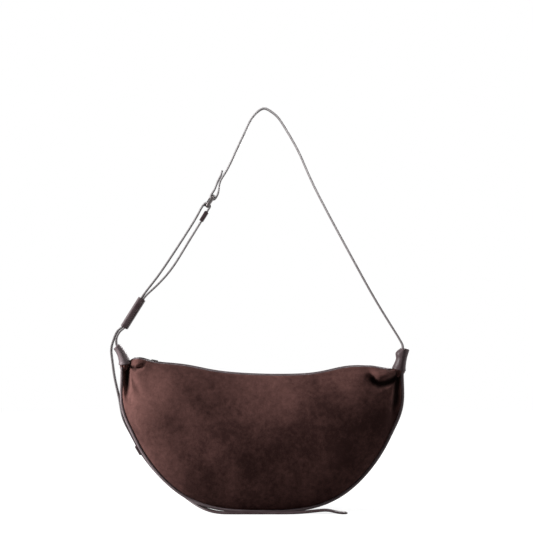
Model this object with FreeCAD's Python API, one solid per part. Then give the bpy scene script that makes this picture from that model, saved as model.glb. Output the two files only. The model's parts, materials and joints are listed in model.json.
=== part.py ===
import FreeCAD, Part
import math
import os
from FreeCAD import Vector as V

os.makedirs("parts", exist_ok=True)

# Driving dimensions of the half moon bag, in millimetres.
# X runs along the bag, Y from the front to the back, Z up from the floor.

# Place of the bag's middle, so that the origin lies under the middle of the whole
origin_x = 5.0

# Bag body
crescent_radius = 190.0
bottom_flattening = 8.0
left_rise = 12.0
right_rise = 6.0
flat_spread = 21.0
lower_fullness = 1.7
lower_angle = 33.0
lower_spread = 14.0
side_fullness = 3.0
side_angle = 64.0
base_half_depth = 33.0
corner_half_depth = 6.5
panel_bulge = 16.0
corner_bulge = 0.8
panel_thickness = 1.6
panel_spans = 16
piping_radius = 2.0
piping_sides = 10
piping_spans = 32
foot_flat = 0.4
gusset_crown = 3.6
gusset_recess = 1.0
gusset_thickness = 1.6
lining_thickness = 0.6
seam_gap = 0.25
lining_gap = 0.3

# Top opening and zip
corner_inset = 12.0
opening_half_width = 13.0
opening_corner_half_width = 5.5
narrow_start = 0.93
zip_low_x = 25.0
zip_sag = 2.5
zip_arc_radius = 900.0
zip_left_inset = 24.0
zip_right_inset = 28.0
top_lip = 3.4
left_hump = 3.6
right_hump = 6.4
left_hump_part = 0.59
right_hump_part = 0.663
hump_spread = 35.0
corner_drop = 5.0
corner_drop_part = 0.82
binding_height = 2.4
binding_overlap = 0.4
tape_thickness = 0.7
tape_inner_edge = 2.6
tooth_pitch = 3.2
tooth_length = 1.2
tooth_reach = 0.9
tooth_height = 2.0
slider_length = 14.0
slider_plate = 1.2
slider_clearance = 0.35
zip_end_thickness = 1.2

# Corner tabs
tab_wall = 1.8
tab_length_left = 25.5
tab_length_right = 29.0
tab_lean_left = 26.0
tab_lean_right = 12.0
tab_base_half_width = 8.0
tab_mouth_half_width = 5.6
tab_sway = 2.4
tab_base_half_depth = 10.5
tab_mouth_half_depth = 9.3
mouth_shift = 0.3
line_lift = 3.0
tab_seat_gap = 0.5
tab_fill_clearance = 0.2

# Strap and its fittings
strap_width = 14.0
strap_thickness = 2.4
strap_peak_x = 2.7
strap_rise = 321.0
strand_gap = 0.3
arc_tolerance = 0.25
bend_length = 17.0
bend_gap = 0.3
buckle_along = 232.5
buckle_offset = -5.0
bar_radius = 2.0
bar_spacing = 15.0
frame_side_clearance = 0.8
prong_thickness = 1.8
prong_width = 2.6
prong_clearance = 0.1
prong_slot_clearance = 0.4
loop_clearance = 0.35
hole_radius = 1.6
hole_pitch = 20.0
hole_count = 4
sleeve_start = 26.5
sleeve_length = 44.5
sleeve_wall = 1.8
sleeve_clearance = 1.0
keeper_wall = 1.6
buckle_keeper_wall = 1.2
buckle_keeper_clearance = 0.4
keeper_length = 12.0
keeper_fraction = 0.188
buckle_keeper_length = 14.0
tail_tip_part = 0.6
tail_hump = 3.5
tail_hump_part = 0.453
tail_hump_rise = 28.0
tail_hump_fall = 13.0
tail_gap = 0.25
tail_step = 12.0

# Worked out from the dimensions above
widest_height = crescent_radius - bottom_flattening
top_half_length = crescent_radius - corner_inset
zip_low_z = widest_height - zip_sag
zip_left_x = zip_left_inset - top_half_length
zip_right_x = top_half_length - zip_right_inset
left_hump_place = -left_hump_part * top_half_length
right_hump_place = right_hump_part * top_half_length
corner_drop_start = corner_drop_part * top_half_length
tail_tip_x = tail_tip_part * crescent_radius
tail_hump_place = tail_hump_part * crescent_radius
seam_low_z = piping_radius - foot_flat
flattening = 1.0 - (widest_height - seam_low_z) / crescent_radius
left_angle = left_rise / crescent_radius
right_angle = right_rise / crescent_radius
full_angle = math.pi + left_angle + right_angle
half_strap = strap_thickness / 2.0


def save(shape, node):
    if not shape.isValid():
        shape.fix(1e-4, 1e-4, 1e-3)
    shape = shape.translated(V(origin_x, 0, 0))
    shape.exportStep("parts/" + node + ".step")


def mirror_front_to_back(shape):
    return shape.mirror(V(0, 0, 0), V(0, 1, 0))


def at(x, z, y=0.0):
    return V(x, y, z)


# Crescent seam: a flattened half round, a little full at its sides, with straight ends up to the tabs
def seam_radius(swing):
    flat = flattening * crescent_radius * math.exp(-(swing / flat_spread) ** 2)
    lower = lower_fullness * math.exp(-((abs(swing) - lower_angle) / lower_spread) ** 2)
    side_part = max(0.0, (abs(swing) - side_angle) / (90.0 - side_angle))
    side = side_fullness * math.sin(math.pi * side_part) ** 2
    return crescent_radius - flat + lower + side


def seam_point(u):
    angle = full_angle * u - left_angle
    if angle < 0:
        return -crescent_radius, widest_height - crescent_radius * angle
    if angle > math.pi:
        return crescent_radius, widest_height + crescent_radius * (angle - math.pi)
    swing = math.degrees(angle) - 90.0
    radius = seam_radius(swing)
    swing = math.radians(swing)
    return radius * math.sin(swing), widest_height - radius * math.cos(swing)


def seam_frame(u):
    step = 0.004
    ax, az = seam_point(max(0.0, u - step))
    bx, bz = seam_point(min(1.0, u + step))
    length = math.hypot(bx - ax, bz - az)
    tx = (bx - ax) / length
    tz = (bz - az) / length
    x, z = seam_point(u)
    return x, z, tz, -tx


def seam_offset(u, outward, y=0.0):
    x, z, nx, nz = seam_frame(u)
    return at(x + outward * nx, z + outward * nz, y)


def fullness(u):
    return max(0.0, math.sin(math.pi * u))


def half_depth(u):
    widening = 1.0 - (1.0 - fullness(u)) ** 1.6
    return corner_half_depth + (base_half_depth - corner_half_depth) * widening


def seam_stretch(u):
    step = 0.004
    low = max(0.0, u - step)
    high = min(1.0, u + step)
    ax, az = seam_point(low)
    bx, bz = seam_point(high)
    run = math.hypot(bx - ax, bz - az)
    widening = (half_depth(high) - half_depth(low)) / run
    return math.hypot(1.0, widening)


def crown(u):
    flat = fullness(u) ** 6
    return gusset_crown * (1 - flat) * min(1.0, 3.0 * fullness(u)) - gusset_recess * flat


# Zip line: an arc that sags between the two tabs
zip_centre_z = zip_low_z + zip_arc_radius


def zip_z(x):
    return zip_centre_z - math.sqrt(zip_arc_radius ** 2 - (x - zip_low_x) ** 2)


def smooth(value):
    value = min(1.0, max(0.0, value))
    return value * value * (3 - 2 * value)


def top_edge_z(x):
    left = left_hump * math.exp(-((x - left_hump_place) / hump_spread) ** 2)
    right = right_hump * math.exp(-((x - right_hump_place) / hump_spread) ** 2)
    drop = corner_drop * smooth((abs(x) - corner_drop_start) / (top_half_length - corner_drop_start))
    return zip_z(x) + top_lip + left + right - drop


def top_edge_y(x):
    narrow = smooth((abs(x) / top_half_length - narrow_start) / (1.0 - narrow_start))
    return opening_half_width + (opening_corner_half_width - opening_half_width) * narrow


def panel_points(u, inward):
    top_x = -top_half_length * math.cos(math.pi * u)
    top = at(top_x, top_edge_z(top_x) - binding_height, -top_edge_y(top_x))
    foot = seam_offset(u, -piping_radius - seam_gap, -half_depth(u))
    reach = max(half_depth(u), top_edge_y(top_x))
    mid = top + (foot - top) * 0.52
    mid.y = -(reach + corner_bulge + panel_bulge * fullness(u))
    shift = V(0, inward, 0)
    return top + shift, mid + shift, foot + shift


def shell_section(u, outer, inner, from_part=0.0, to_part=1.0):
    ends = []
    for inward in (outer, inner):
        curve = Part.Arc(*panel_points(u, inward))
        first = curve.FirstParameter
        span = curve.LastParameter - first
        middle = 0.5 * (from_part + to_part)
        ends.append([curve.value(first + span * f) for f in (from_part, middle, to_part)])
    a, b = ends
    edges = [
        Part.Arc(a[0], a[1], a[2]).toShape(),
        Part.makeLine(a[2], b[2]),
        Part.Arc(b[2], b[1], b[0]).toShape(),
        Part.makeLine(b[0], a[0]),
    ]
    return Part.Wire(edges)


def shell_between(outer, inner, stations, from_part=0.0, to_part=1.0):
    wires = [shell_section(u, outer, inner, from_part, to_part) for u in stations]
    return Part.makeLoft(wires, True, True)


def band_section(u, outer, inner, half):
    bulge = crown(u)
    rise = max(0.05, abs(bulge)) * (1 if bulge >= 0 else -1)

    def arc(offset):
        left = seam_offset(u, offset, -half)
        middle = seam_offset(u, offset + rise, 0)
        right = seam_offset(u, offset, half)
        return left, middle, right

    a = arc(outer)
    b = arc(inner)
    edges = [
        Part.Arc(a[0], a[1], a[2]).toShape(),
        Part.makeLine(a[2], b[2]),
        Part.Arc(b[2], b[1], b[0]).toShape(),
        Part.makeLine(b[0], a[0]),
    ]
    return Part.Wire(edges)


def band_between(outer, inner, inset, stations):
    wires = []
    for u in stations:
        wires.append(band_section(u, outer, inner, half_depth(u) - inset * seam_stretch(u)))
    return Part.makeLoft(wires, True, True)


# Suede panels, linings and the slip pocket
panel_stations = [k / panel_spans for k in range(panel_spans + 1)]
front_panel = shell_between(0.0, panel_thickness, panel_stations)
save(front_panel, "front_panel")
save(mirror_front_to_back(front_panel), "back_panel")

lining_outer = panel_thickness + lining_gap
lining_inner = lining_outer + lining_thickness
lining_stations = panel_stations[2:-2]
front_lining = shell_between(lining_outer, lining_inner, lining_stations, 0.06, 0.94)
save(front_lining, "front_lining")
save(mirror_front_to_back(front_lining), "back_lining")

pocket_outer = lining_inner + lining_gap
pocket_inner = pocket_outer + lining_thickness
pocket = shell_between(pocket_outer, pocket_inner, panel_stations[5:-5], 0.28, 0.74)
save(mirror_front_to_back(pocket), "inner_pocket")

# Gusset band, its lining and the piping on both seams
gusset = band_between(0.0, -gusset_thickness, piping_radius + seam_gap, panel_stations)
save(gusset, "gusset")
band_lining_outer = -gusset_thickness - lining_gap
band_lining_inner = band_lining_outer - lining_thickness
band_lining_inset = lining_inner + lining_gap
gusset_lining = band_between(band_lining_outer, band_lining_inner, band_lining_inset,
                             lining_stations)
save(gusset_lining, "gusset_lining")


def above_floor(shape):
    reach = 2 * crescent_radius
    below = Part.makeBox(2 * reach, 2 * reach, reach, V(-reach, -reach, -reach))
    return shape.cut(below)


def piping():
    wires = []
    step = 0.002
    for k in range(piping_spans + 1):
        u = k / piping_spans
        low = max(0.0, u - step)
        high = min(1.0, u + step)
        along = seam_offset(high, 0, -half_depth(high)) - seam_offset(low, 0, -half_depth(low))
        along.normalize()
        centre = seam_offset(u, 0, -half_depth(u))
        out = seam_offset(u, 1.0, -half_depth(u)) - centre
        out = out - along * out.dot(along)
        out.normalize()
        side = along.cross(out)
        corners = []
        for turn in range(piping_sides):
            angle = 2 * math.pi * turn / piping_sides
            spoke = out * math.cos(angle) + side * math.sin(angle)
            corners.append(centre + spoke * piping_radius)
        wires.append(Part.makePolygon(corners + [corners[0]]))
    tube = Part.makeLoft(wires, True, True)
    return above_floor(tube)


front_piping = piping()
save(front_piping, "front_piping")
save(mirror_front_to_back(front_piping), "back_piping")


# Bindings on the two edges of the opening
def binding():
    wires = []
    for u in panel_stations[1:-1]:
        x = -top_half_length * math.cos(math.pi * u)
        low = top_edge_z(x) - binding_height + seam_gap
        high = low + binding_height
        near = -top_edge_y(x) - binding_overlap
        far = -top_edge_y(x) + panel_thickness + binding_overlap
        corners = [at(x, low, near), at(x, low, far), at(x, high, far), at(x, high, near)]
        wires.append(Part.makePolygon(corners + [corners[0]]))
    return Part.makeLoft(wires, True, True)


front_binding = binding()
save(front_binding, "front_top_binding")
save(mirror_front_to_back(front_binding), "back_top_binding")

# Zip tapes, teeth, stops and end tabs, all turned about the centre of the zip arc
zip_axis = V(0, -1, 0)
zip_centre = at(zip_low_x, zip_centre_z)


def zip_angle(x):
    return math.degrees(math.asin((x - zip_low_x) / zip_arc_radius))


def along_zip(shape, x):
    return shape.rotated(zip_centre, zip_axis, zip_angle(x))


def zip_strip(y_from, y_to, z_from, z_to, x_from, x_to):
    corners = []
    for y, z in ((y_from, z_from), (y_to, z_from), (y_to, z_to), (y_from, z_to)):
        corners.append(at(zip_low_x, zip_low_z + z, y))
    face = Part.Face(Part.makePolygon(corners + [corners[0]]))
    start = face.rotated(zip_centre, zip_axis, zip_angle(x_from))
    return start.revolve(zip_centre, zip_axis, zip_angle(x_to) - zip_angle(x_from))


tape_outer_edge = opening_half_width - panel_thickness - binding_overlap - seam_gap
tape = zip_strip(-tape_outer_edge, -tape_inner_edge, -tape_thickness / 2, tape_thickness / 2,
                 zip_left_x - 4.0, zip_right_x + 4.0)
save(tape, "front_zip_tape")
save(mirror_front_to_back(tape), "back_zip_tape")

tooth_half = tooth_length / 2.0
chain_start = zip_left_x + slider_length
chain_end = zip_right_x - 6.0
tooth_count = int((chain_end - chain_start) / tooth_pitch)
tooth_root = tape_inner_edge - seam_gap


def tooth(y_from, y_to):
    half_height = tooth_height / 2.0
    body = Part.makeBox(tooth_length, y_to - y_from, tooth_height,
                        V(zip_low_x - tooth_half, y_from, zip_low_z - half_height))
    return body


def teeth(first, y_from, y_to):
    solids = []
    for k in range(tooth_count):
        x = chain_start + first + k * tooth_pitch
        solids.append(along_zip(tooth(y_from, y_to), x))
    return Part.Compound(solids)


save(teeth(0.0, -tooth_root, tooth_reach), "front_zip_teeth")
save(teeth(tooth_pitch / 2.0, -tooth_reach, tooth_root), "back_zip_teeth")

stop_low = tape_thickness / 2 + seam_gap
stop = Part.makeBox(3.0, tooth_root * 2, tooth_height / 2,
                    V(zip_low_x - 1.5, -tooth_root, zip_low_z - tooth_height / 2))
left_stops = []
for side in (-1, 1):
    block = Part.makeBox(2.0, 2.2, 1.3, V(zip_low_x - 1, side * 4.2 - 1.1, zip_low_z + stop_low))
    left_stops.append(along_zip(block, zip_left_x - 1.4))
right_stop = along_zip(stop, zip_right_x - 1.0)
save(Part.Compound(left_stops + [right_stop]), "zip_stops")


def zip_end(x_from, x_to):
    low = tape_thickness / 2 + seam_gap
    half = tape_outer_edge - 3.5
    return zip_strip(-half, half, low, low + zip_end_thickness, x_from, x_to)


save(zip_end(zip_left_x - 15.0, zip_left_x - 2.8), "left_zip_end")
save(zip_end(zip_right_x + 1.5, zip_right_x + 11.0), "right_zip_end")

# Zip slider: two plates, a divider at the open end, side lips and a bail
plate_gap = tooth_height / 2 + slider_clearance
slider_half = slider_length / 2.0
slider_x = zip_left_x + slider_half
slider_half_width = tape_inner_edge + 2.2
top_of_slider = zip_low_z + plate_gap + slider_plate
bail_height = 4.2
pin_radius = 0.9
lip_gap = tape_thickness / 2 + slider_clearance


def shield(low):
    wide = slider_half_width
    narrow = slider_half_width - 1.2
    outline = [(-slider_half, wide - 1.5), (-slider_half + 1.5, wide), (0.0, wide),
               (slider_half - 1.5, narrow), (slider_half, narrow - 1.5)]
    corners = [at(zip_low_x + x, low, -y) for x, y in outline]
    corners += [at(zip_low_x + x, low, y) for x, y in reversed(outline)]
    face = Part.Face(Part.makePolygon(corners + [corners[0]]))
    return face.extrude(V(0, 0, slider_plate))


def slider():
    body = shield(zip_low_z + plate_gap).fuse(shield(zip_low_z - plate_gap - slider_plate))
    post_from = -slider_half + 0.8
    post = Part.makeBox(3.4, 2.4, 2 * plate_gap + 0.4,
                        V(zip_low_x + post_from, -1.2, zip_low_z - plate_gap - 0.2))
    body = body.fuse(post)
    for side in (-1, 1):
        lip_y = side * (slider_half_width - 1.7) - 0.5
        for low, high in ((lip_gap, plate_gap + 0.1), (-plate_gap - 0.1, -lip_gap)):
            lip = Part.makeBox(6.0, 1.0, high - low,
                               V(zip_low_x - slider_half + 1.6, lip_y, zip_low_z + low))
            body = body.fuse(lip)
    bail = Part.makeBox(9.0, 2.0, bail_height + 0.2,
                        V(zip_low_x - 4.5, -1.0, top_of_slider - 0.2))
    window = Part.makeBox(6.4, 3.0, bail_height - 1.3,
                          V(zip_low_x - 3.2, -1.5, top_of_slider))
    return body.fuse(bail.cut(window)).removeSplitter()


save(along_zip(slider(), slider_x), "zip_slider")

# Zip pull: a wire link through the bail and a leather tab, laid back over the zip end
pull_pivot_x = zip_low_x - 2.2
pull_pivot_z = top_of_slider + pin_radius + 0.15
link_half = 2.6
link_length = 12.0
link_corner = 1.4
pin_relief = 0.1
tab_gap = 0.1
pull_tab_length = 17.0
pull_tab_half_width = 4.0
pull_tab_thickness = 2.8


def wire_along(edges, radius):
    start = edges[0].Vertexes[0].Point
    ahead = edges[0].Vertexes[-1].Point - start
    round_face = Part.Face(Part.Wire([Part.makeCircle(radius, start, ahead)]))
    return Part.Wire(edges).makePipe(round_face)


def link_plate(extra):
    half = link_half + pin_radius + extra
    bar = pin_radius + extra
    far = pull_pivot_x - link_length - bar
    low = at(far, pull_pivot_z - bar, -half)
    high = at(far, pull_pivot_z + bar, -half)
    near_low = at(pull_pivot_x, pull_pivot_z - bar, -half)
    near_high = at(pull_pivot_x, pull_pivot_z + bar, -half)
    nose = at(pull_pivot_x + bar, pull_pivot_z, -half)
    outline = Part.Wire([Part.makeLine(low, near_low), Part.Arc(near_low, nose, near_high).toShape(),
                         Part.makeLine(near_high, high), Part.makeLine(high, low)])
    outer = Part.Face(outline).extrude(V(0, 2 * half, 0))
    upright = [e for e in outer.Edges if abs(e.Vertexes[0].Z - e.Vertexes[-1].Z) > bar
               and e.BoundBox.XMax < far + bar]
    outer = outer.makeFillet(link_corner, upright)
    window = Part.makeBox(link_length, 2 * half - 4 * bar, 2 * bar + 2.0,
                          V(far + 2 * bar, -half + 2 * bar, pull_pivot_z - bar - 1.0))
    pin = Part.makeCylinder(bar - pin_relief, 2 * half, V(pull_pivot_x, -half, pull_pivot_z), V(0, 1, 0))
    return outer.cut(window.cut(pin))


save(along_zip(link_plate(0.0), slider_x), "zip_pull_link")
tab_from = pull_pivot_x - link_length + 3.4
tab_face = Part.makeBox(pull_tab_length, 2 * pull_tab_half_width, pull_tab_thickness,
                        V(tab_from - pull_tab_length, -pull_tab_half_width,
                          pull_pivot_z - pull_tab_thickness / 2))
link_room = link_plate(tab_gap)
tab_edges = [e for e in tab_face.Edges if abs(e.Vertexes[0].Z - e.Vertexes[-1].Z) > 1.0]
pull_tab = tab_face.makeFillet(1.6, tab_edges).cut(link_room)
save(along_zip(pull_tab, slider_x), "zip_pull_tab")


# Corner tabs: tapered leather tubes over the gathered corners
def oval(centre, along, half_x, half_y):
    side = V(along.z, 0, -along.x)
    depth = V(0, 1, 0)
    corner = 0.62 * half_x
    notch = corner * (1 - math.sqrt(0.5))

    def spot(x, y):
        return centre + side * x + depth * y

    edges = []
    for sx, sy, turned in ((1, 1, False), (-1, 1, True), (-1, -1, False), (1, -1, True)):
        first = spot(sx * half_x, sy * (half_y - corner))
        middle = spot(sx * (half_x - notch), sy * (half_y - notch))
        last = spot(sx * (half_x - corner), sy * half_y)
        if turned:
            first, last = last, first
        if edges:
            edges.append(Part.makeLine(end, first))
        else:
            begin = first
        edges.append(Part.Arc(first, middle, last).toShape())
        end = last
    edges.append(Part.makeLine(end, begin))
    return Part.Wire(edges)


def tube(base, along, length, sizes, sway, start, stop_at):
    (base_x, base_y), (mouth_x, mouth_y) = sizes
    wires = []
    steps = 4
    for k in range(steps + 1):
        place = start + (stop_at - start) * k / steps
        part = place / length
        half_x = base_x + (mouth_x - base_x) * part
        half_y = base_y + (mouth_y - base_y) * part
        centre = base + along * place + sway * (4 * part * (1 - part))
        wires.append(oval(centre, along, half_x, half_y))
    return Part.makeLoft(wires, True, False)


def corner_tab(base, along, length, side, shift, sway):
    outer_sizes = ((tab_base_half_width, tab_base_half_depth),
                   (tab_mouth_half_width, tab_mouth_half_depth))
    inner_sizes = tuple((a - tab_wall, b - tab_wall) for a, b in outer_sizes)
    fill_sizes = tuple((a - tab_fill_clearance, b - tab_fill_clearance) for a, b in inner_sizes)
    skin = tube(base, along, length, outer_sizes, sway, 0.0, length)
    bore = tube(base, along, length, inner_sizes, sway, -1.0, length + 1.0)
    save(skin.cut(bore), side + "_corner_tab")
    fill = tube(base, along, length, fill_sizes, sway, 0.0, length * 0.5)
    save(fill, side + "_gather")
    low = base + along * (length * 0.5 + tab_seat_gap) + shift
    high = base + along * length + shift
    save(strap_piece([low, (low + high) * 0.5, high]), side + "_strap_root")


# Straps: a flat strip whose width lies along Y, bent along a line in the XZ plane
def offset_edges(arcs, distance):
    edges = []
    points = []
    for arc in arcs:
        places = [arc.FirstParameter, 0.5 * (arc.FirstParameter + arc.LastParameter), arc.LastParameter]
        spots = []
        for place in places:
            ahead = arc.tangent(place)[0]
            spots.append(arc.value(place) + V(-ahead.z, 0, ahead.x) * distance)
        if points:
            spots[0] = points[-1]
        else:
            points.append(spots[0])
        points.append(spots[2])
        sag = (spots[1] - (spots[0] + spots[2]) * 0.5).Length
        if sag < 1e-3:
            edges.append(Part.makeLine(spots[0], spots[2]))
        else:
            edges.append(Part.Arc(spots[0], spots[1], spots[2]).toShape())
    return edges, points


def strap_piece(points, width=strap_width, thickness=strap_thickness):
    route = Part.BSplineCurve()
    route.interpolate(points)
    arcs = route.toBiArcs(arc_tolerance)
    upper, up = offset_edges(arcs, thickness / 2.0)
    lower, down = offset_edges(arcs, -thickness / 2.0)
    ends = [Part.makeLine(up[-1], down[-1]), Part.makeLine(down[0], up[0])]
    outline = Part.Wire(upper + ends[:1] + lower[::-1] + ends[1:])
    face = Part.Face(outline)
    face.translate(V(0, -width / 2.0, 0))
    return face.extrude(V(0, width, 0))


def lean(degrees):
    return V(math.sin(math.radians(degrees)), 0, math.cos(math.radians(degrees)))


def tab_base(u, along):
    top, middle, foot = panel_points(u, 0.0)
    edge = seam_offset(u, piping_radius)
    inside = seam_offset(u, -piping_radius)
    top.y = 0
    centre = (top + edge) * 0.5
    reach = max((point - centre).dot(along) for point in (top, edge, inside))
    return centre + along * (reach + tab_seat_gap)


left_along = lean(-tab_lean_left)
right_along = lean(tab_lean_right)
left_base = tab_base(0.0, left_along)
right_base = tab_base(1.0, right_along)
left_mouth = left_base + left_along * tab_length_left
right_mouth = right_base + right_along * tab_length_right
left_side = V(left_along.z, 0, -left_along.x)
right_side = V(right_along.z, 0, -right_along.x)
left_shift = left_side * mouth_shift
right_shift = right_side * -mouth_shift
corner_tab(left_base, left_along, tab_length_left, "left", left_shift, left_side * tab_sway)
corner_tab(right_base, right_along, tab_length_right, "right", right_shift, right_side * 0.0)

left_start = left_mouth + left_along * line_lift
right_start = right_mouth + right_along * line_lift
peak = at(strap_peak_x, left_start.z + strap_rise)
left_run = (peak - left_start).Length
right_run = (peak - right_start).Length
left_dir = (peak - left_start) * (1.0 / left_run)
right_dir = (peak - right_start) * (1.0 / right_run)
left_out = V(-left_dir.z, 0, left_dir.x)
right_out = V(right_dir.z, 0, -right_dir.x)


def on_left(along, out):
    return left_start + left_dir * along + left_out * out


def on_right(along, out):
    return right_start + right_dir * along + right_out * out


# The two strands lie side by side in the sleeve
strand_step = (strap_thickness + strand_gap) / 2.0
sleeve_middle = 3.4
inner_out = sleeve_middle - strand_step
outer_out = sleeve_middle + strand_step
sleeve_end = sleeve_start + sleeve_length
lower_bar = buckle_along - bar_spacing / 2.0
upper_bar = buckle_along + bar_spacing / 2.0
back_turn = bar_radius + loop_clearance + half_strap
front_turn = bar_radius + 2 * prong_clearance + prong_thickness + half_strap
strand_drop = 10.8
strand_sway = 3.3
outer_sway = 3.75


def turn_points(bar, start_turn, end_turn, first, last, count):
    points = []
    for k in range(count + 1):
        angle = math.radians(first + (last - first) * k / count)
        radius = start_turn + (end_turn - start_turn) * k / count
        points.append(on_left(bar + radius * math.sin(angle), buckle_offset + radius * math.cos(angle)))
    return points


strap_start = bend_length + bend_gap
span = lower_bar - sleeve_end
inner_strand = [
    on_left(strap_start, inner_out + strand_sway),
    on_left(22.0, inner_out + 0.58 * strand_sway),
    on_left(sleeve_start, inner_out + 0.16 * strand_sway),
    on_left(sleeve_start + 0.15 * sleeve_length, inner_out),
    on_left(sleeve_start + 0.40 * sleeve_length, inner_out),
    on_left(sleeve_start + 0.70 * sleeve_length, inner_out),
    on_left(sleeve_end - 4.0, inner_out),
    on_left(sleeve_end + 1.0, inner_out - 0.1),
    on_left(sleeve_end + 0.12 * span, inner_out - 0.36 * strand_drop),
    on_left(sleeve_end + 0.34 * span, inner_out - 0.98 * strand_drop),
    on_left(sleeve_end + 0.60 * span, inner_out - 1.04 * strand_drop),
    on_left(lower_bar - 10.0, buckle_offset - back_turn - 0.1),
]
lower_turn = turn_points(lower_bar, back_turn, front_turn, 180.0, 0.0, 8)
front_out = buckle_offset + front_turn
outer_strand = [
    on_left(lower_bar - 12.0, front_out),
    on_left(sleeve_end + 0.70 * span, front_out - 0.7),
    on_left(sleeve_end + 0.45 * span, front_out),
    on_left(sleeve_end + 0.20 * span, 0.45 * outer_out),
    on_left(sleeve_end + 7.0, outer_out - 0.3),
    on_left(sleeve_end - 4.0, outer_out),
    on_left(sleeve_start + 0.70 * sleeve_length, outer_out),
    on_left(sleeve_start + 0.40 * sleeve_length, outer_out),
    on_left(sleeve_start + 0.15 * sleeve_length, outer_out),
    on_left(sleeve_start, outer_out + 0.18 * outer_sway),
    on_left(22.0, outer_out + 0.60 * outer_sway),
    on_left(strap_start, outer_out + outer_sway),
]
lower_strap = strap_piece(inner_strand + lower_turn + outer_strand)


def left_block(along_from, along_to, out_from, out_to, half_y):
    block = Part.makeBox(along_to - along_from, 2 * half_y, out_to - out_from)
    block.translate(V(along_from, -half_y, out_from))
    turn = FreeCAD.Rotation(left_dir, V(0, 1, 0), left_out, "XZY")
    block.Placement = FreeCAD.Placement(left_start, turn).multiply(block.Placement)
    return block


slot_half = prong_width / 2.0 + prong_slot_clearance
slot = left_block(lower_bar - 4.5, lower_bar + front_turn + half_strap + 0.5,
                  buckle_offset + bar_radius - 1.0, front_out + half_strap + 0.5, slot_half)
lower_strap = lower_strap.cut(slot)
for k in range(hole_count):
    place = sleeve_end + 0.25 * span + k * hole_pitch
    punch = Part.makeCylinder(hole_radius, 12.0, on_left(place, -4.6), left_out)
    lower_strap = lower_strap.cut(punch)
save(lower_strap, "lower_strap")

# Upper strap: folded round the upper bar, over the peak and down to the right tab
main_out = buckle_offset - back_turn
join_along = upper_bar + 24.0
join_out = -2.0
flap_gap = 0.55
flap = [
    on_left(join_along + 13.0, join_out + strap_thickness + 3.2),
    on_left(join_along + 5.0, join_out + strap_thickness + flap_gap + 0.5),
    on_left(join_along - 2.0, join_out + strap_thickness + flap_gap),
    on_left(upper_bar + 9.0, buckle_offset + back_turn + 0.2),
]
upper_turn = turn_points(upper_bar, back_turn, back_turn, 0.0, -180.0, 8)
climb_run = left_run - join_along - 10.0
climb = [
    on_left(upper_bar + 9.0, main_out + 0.9),
    on_left(join_along - 2.0, join_out - 0.2),
    on_left(join_along + 10.0, join_out + 0.4),
    on_left(left_run - 0.650 * climb_run, 1.9),
    on_left(left_run - 0.411 * climb_run, 4.9),
    on_left(left_run - 0.191 * climb_run, 7.0),
    on_left(left_run - 0.067 * climb_run, 4.6),
]
descent = [
    on_right(0.9813 * right_run, 5.4),
    on_right(0.9546 * right_run, 9.4),
    on_right(0.9065 * right_run, 11.2),
    on_right(0.7917 * right_run, 10.4),
    on_right(0.7169 * right_run, 7.1),
    on_right(0.5860 * right_run, 3.5),
    on_right(0.3400 * right_run, 0.2),
    on_right(0.2000 * right_run, -0.9),
    on_right(strap_start, 0.3),
]
upper_strap = strap_piece(flap + upper_turn + climb + [peak] + descent)
upper_slot = left_block(upper_bar - back_turn - half_strap - 0.5, upper_bar + 7.0,
                        buckle_offset - 3.0, buckle_offset + back_turn + half_strap + 0.8, slot_half)
eye_room = left_block(upper_bar - 6.0, upper_bar + 4.4, buckle_offset - back_turn - half_strap - 0.6,
                      buckle_offset + back_turn + half_strap + 0.6, slot_half)
upper_strap = upper_strap.cut(upper_slot).cut(eye_room)
save(upper_strap, "upper_strap")

# Soft lengths of strap beside the tabs, where it bends as it swings
inner_foot = left_mouth + left_shift
inner_bend = [inner_foot + left_along * 0.6, at(left_start.x - 0.1, left_start.z + 3.2),
              at(left_start.x + 0.2, left_start.z + 8.6), at(left_start.x + 2.1, left_start.z + 13.6),
              on_left(bend_length, inner_out + strand_sway)]
save(strap_piece(inner_bend), "left_strap_bend")
outer_bend_end = at(left_start.x - 6.9, left_start.z - 10.0)
outer_bend = [on_left(bend_length, outer_out + outer_sway),
              at(left_start.x - 0.6, left_start.z + 14.7), at(left_start.x - 2.9, left_start.z + 8.9),
              at(left_start.x - 4.7, left_start.z + 3.6), at(left_start.x - 6.2, left_start.z - 1.9),
              outer_bend_end]
save(strap_piece(outer_bend), "tail_bend")
right_foot = right_mouth + right_shift
right_bend = [right_foot + right_along * 0.7, right_foot + right_along * 4.0,
              on_right(9.5, 0.6), on_right(bend_length - 2.0, 0.3), on_right(bend_length, 0.3)]
save(strap_piece(right_bend), "right_strap_bend")


# Tail: hangs down the left gusset, passes under the bag and lies on the floor in front
def strip_section(centre, along, across):
    face_out = along.cross(across)
    face_out.normalize()
    half = across * (strap_width / 2.0)
    thick = face_out * half_strap
    corners = [centre - half - thick, centre + half - thick,
               centre + half + thick, centre - half + thick]
    return Part.makePolygon(corners + [corners[0]])


def strip(points):
    route = Part.BSplineCurve()
    route.interpolate(points)
    count = int(route.length() / tail_step) + 1
    wires = []
    for place in route.discretize(count):
        along = route.tangent(route.parameter(place))[0]
        across = V(0, 1, 0) - along * along.y
        across.normalize()
        wires.append(strip_section(place, along, across))
    return Part.makeLoft(wires, True, True)


def tail_on_gusset(u, y=0.0, extra=0.0):
    return seam_offset(u, crown(u) + tail_gap + half_strap + extra, y)


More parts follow.
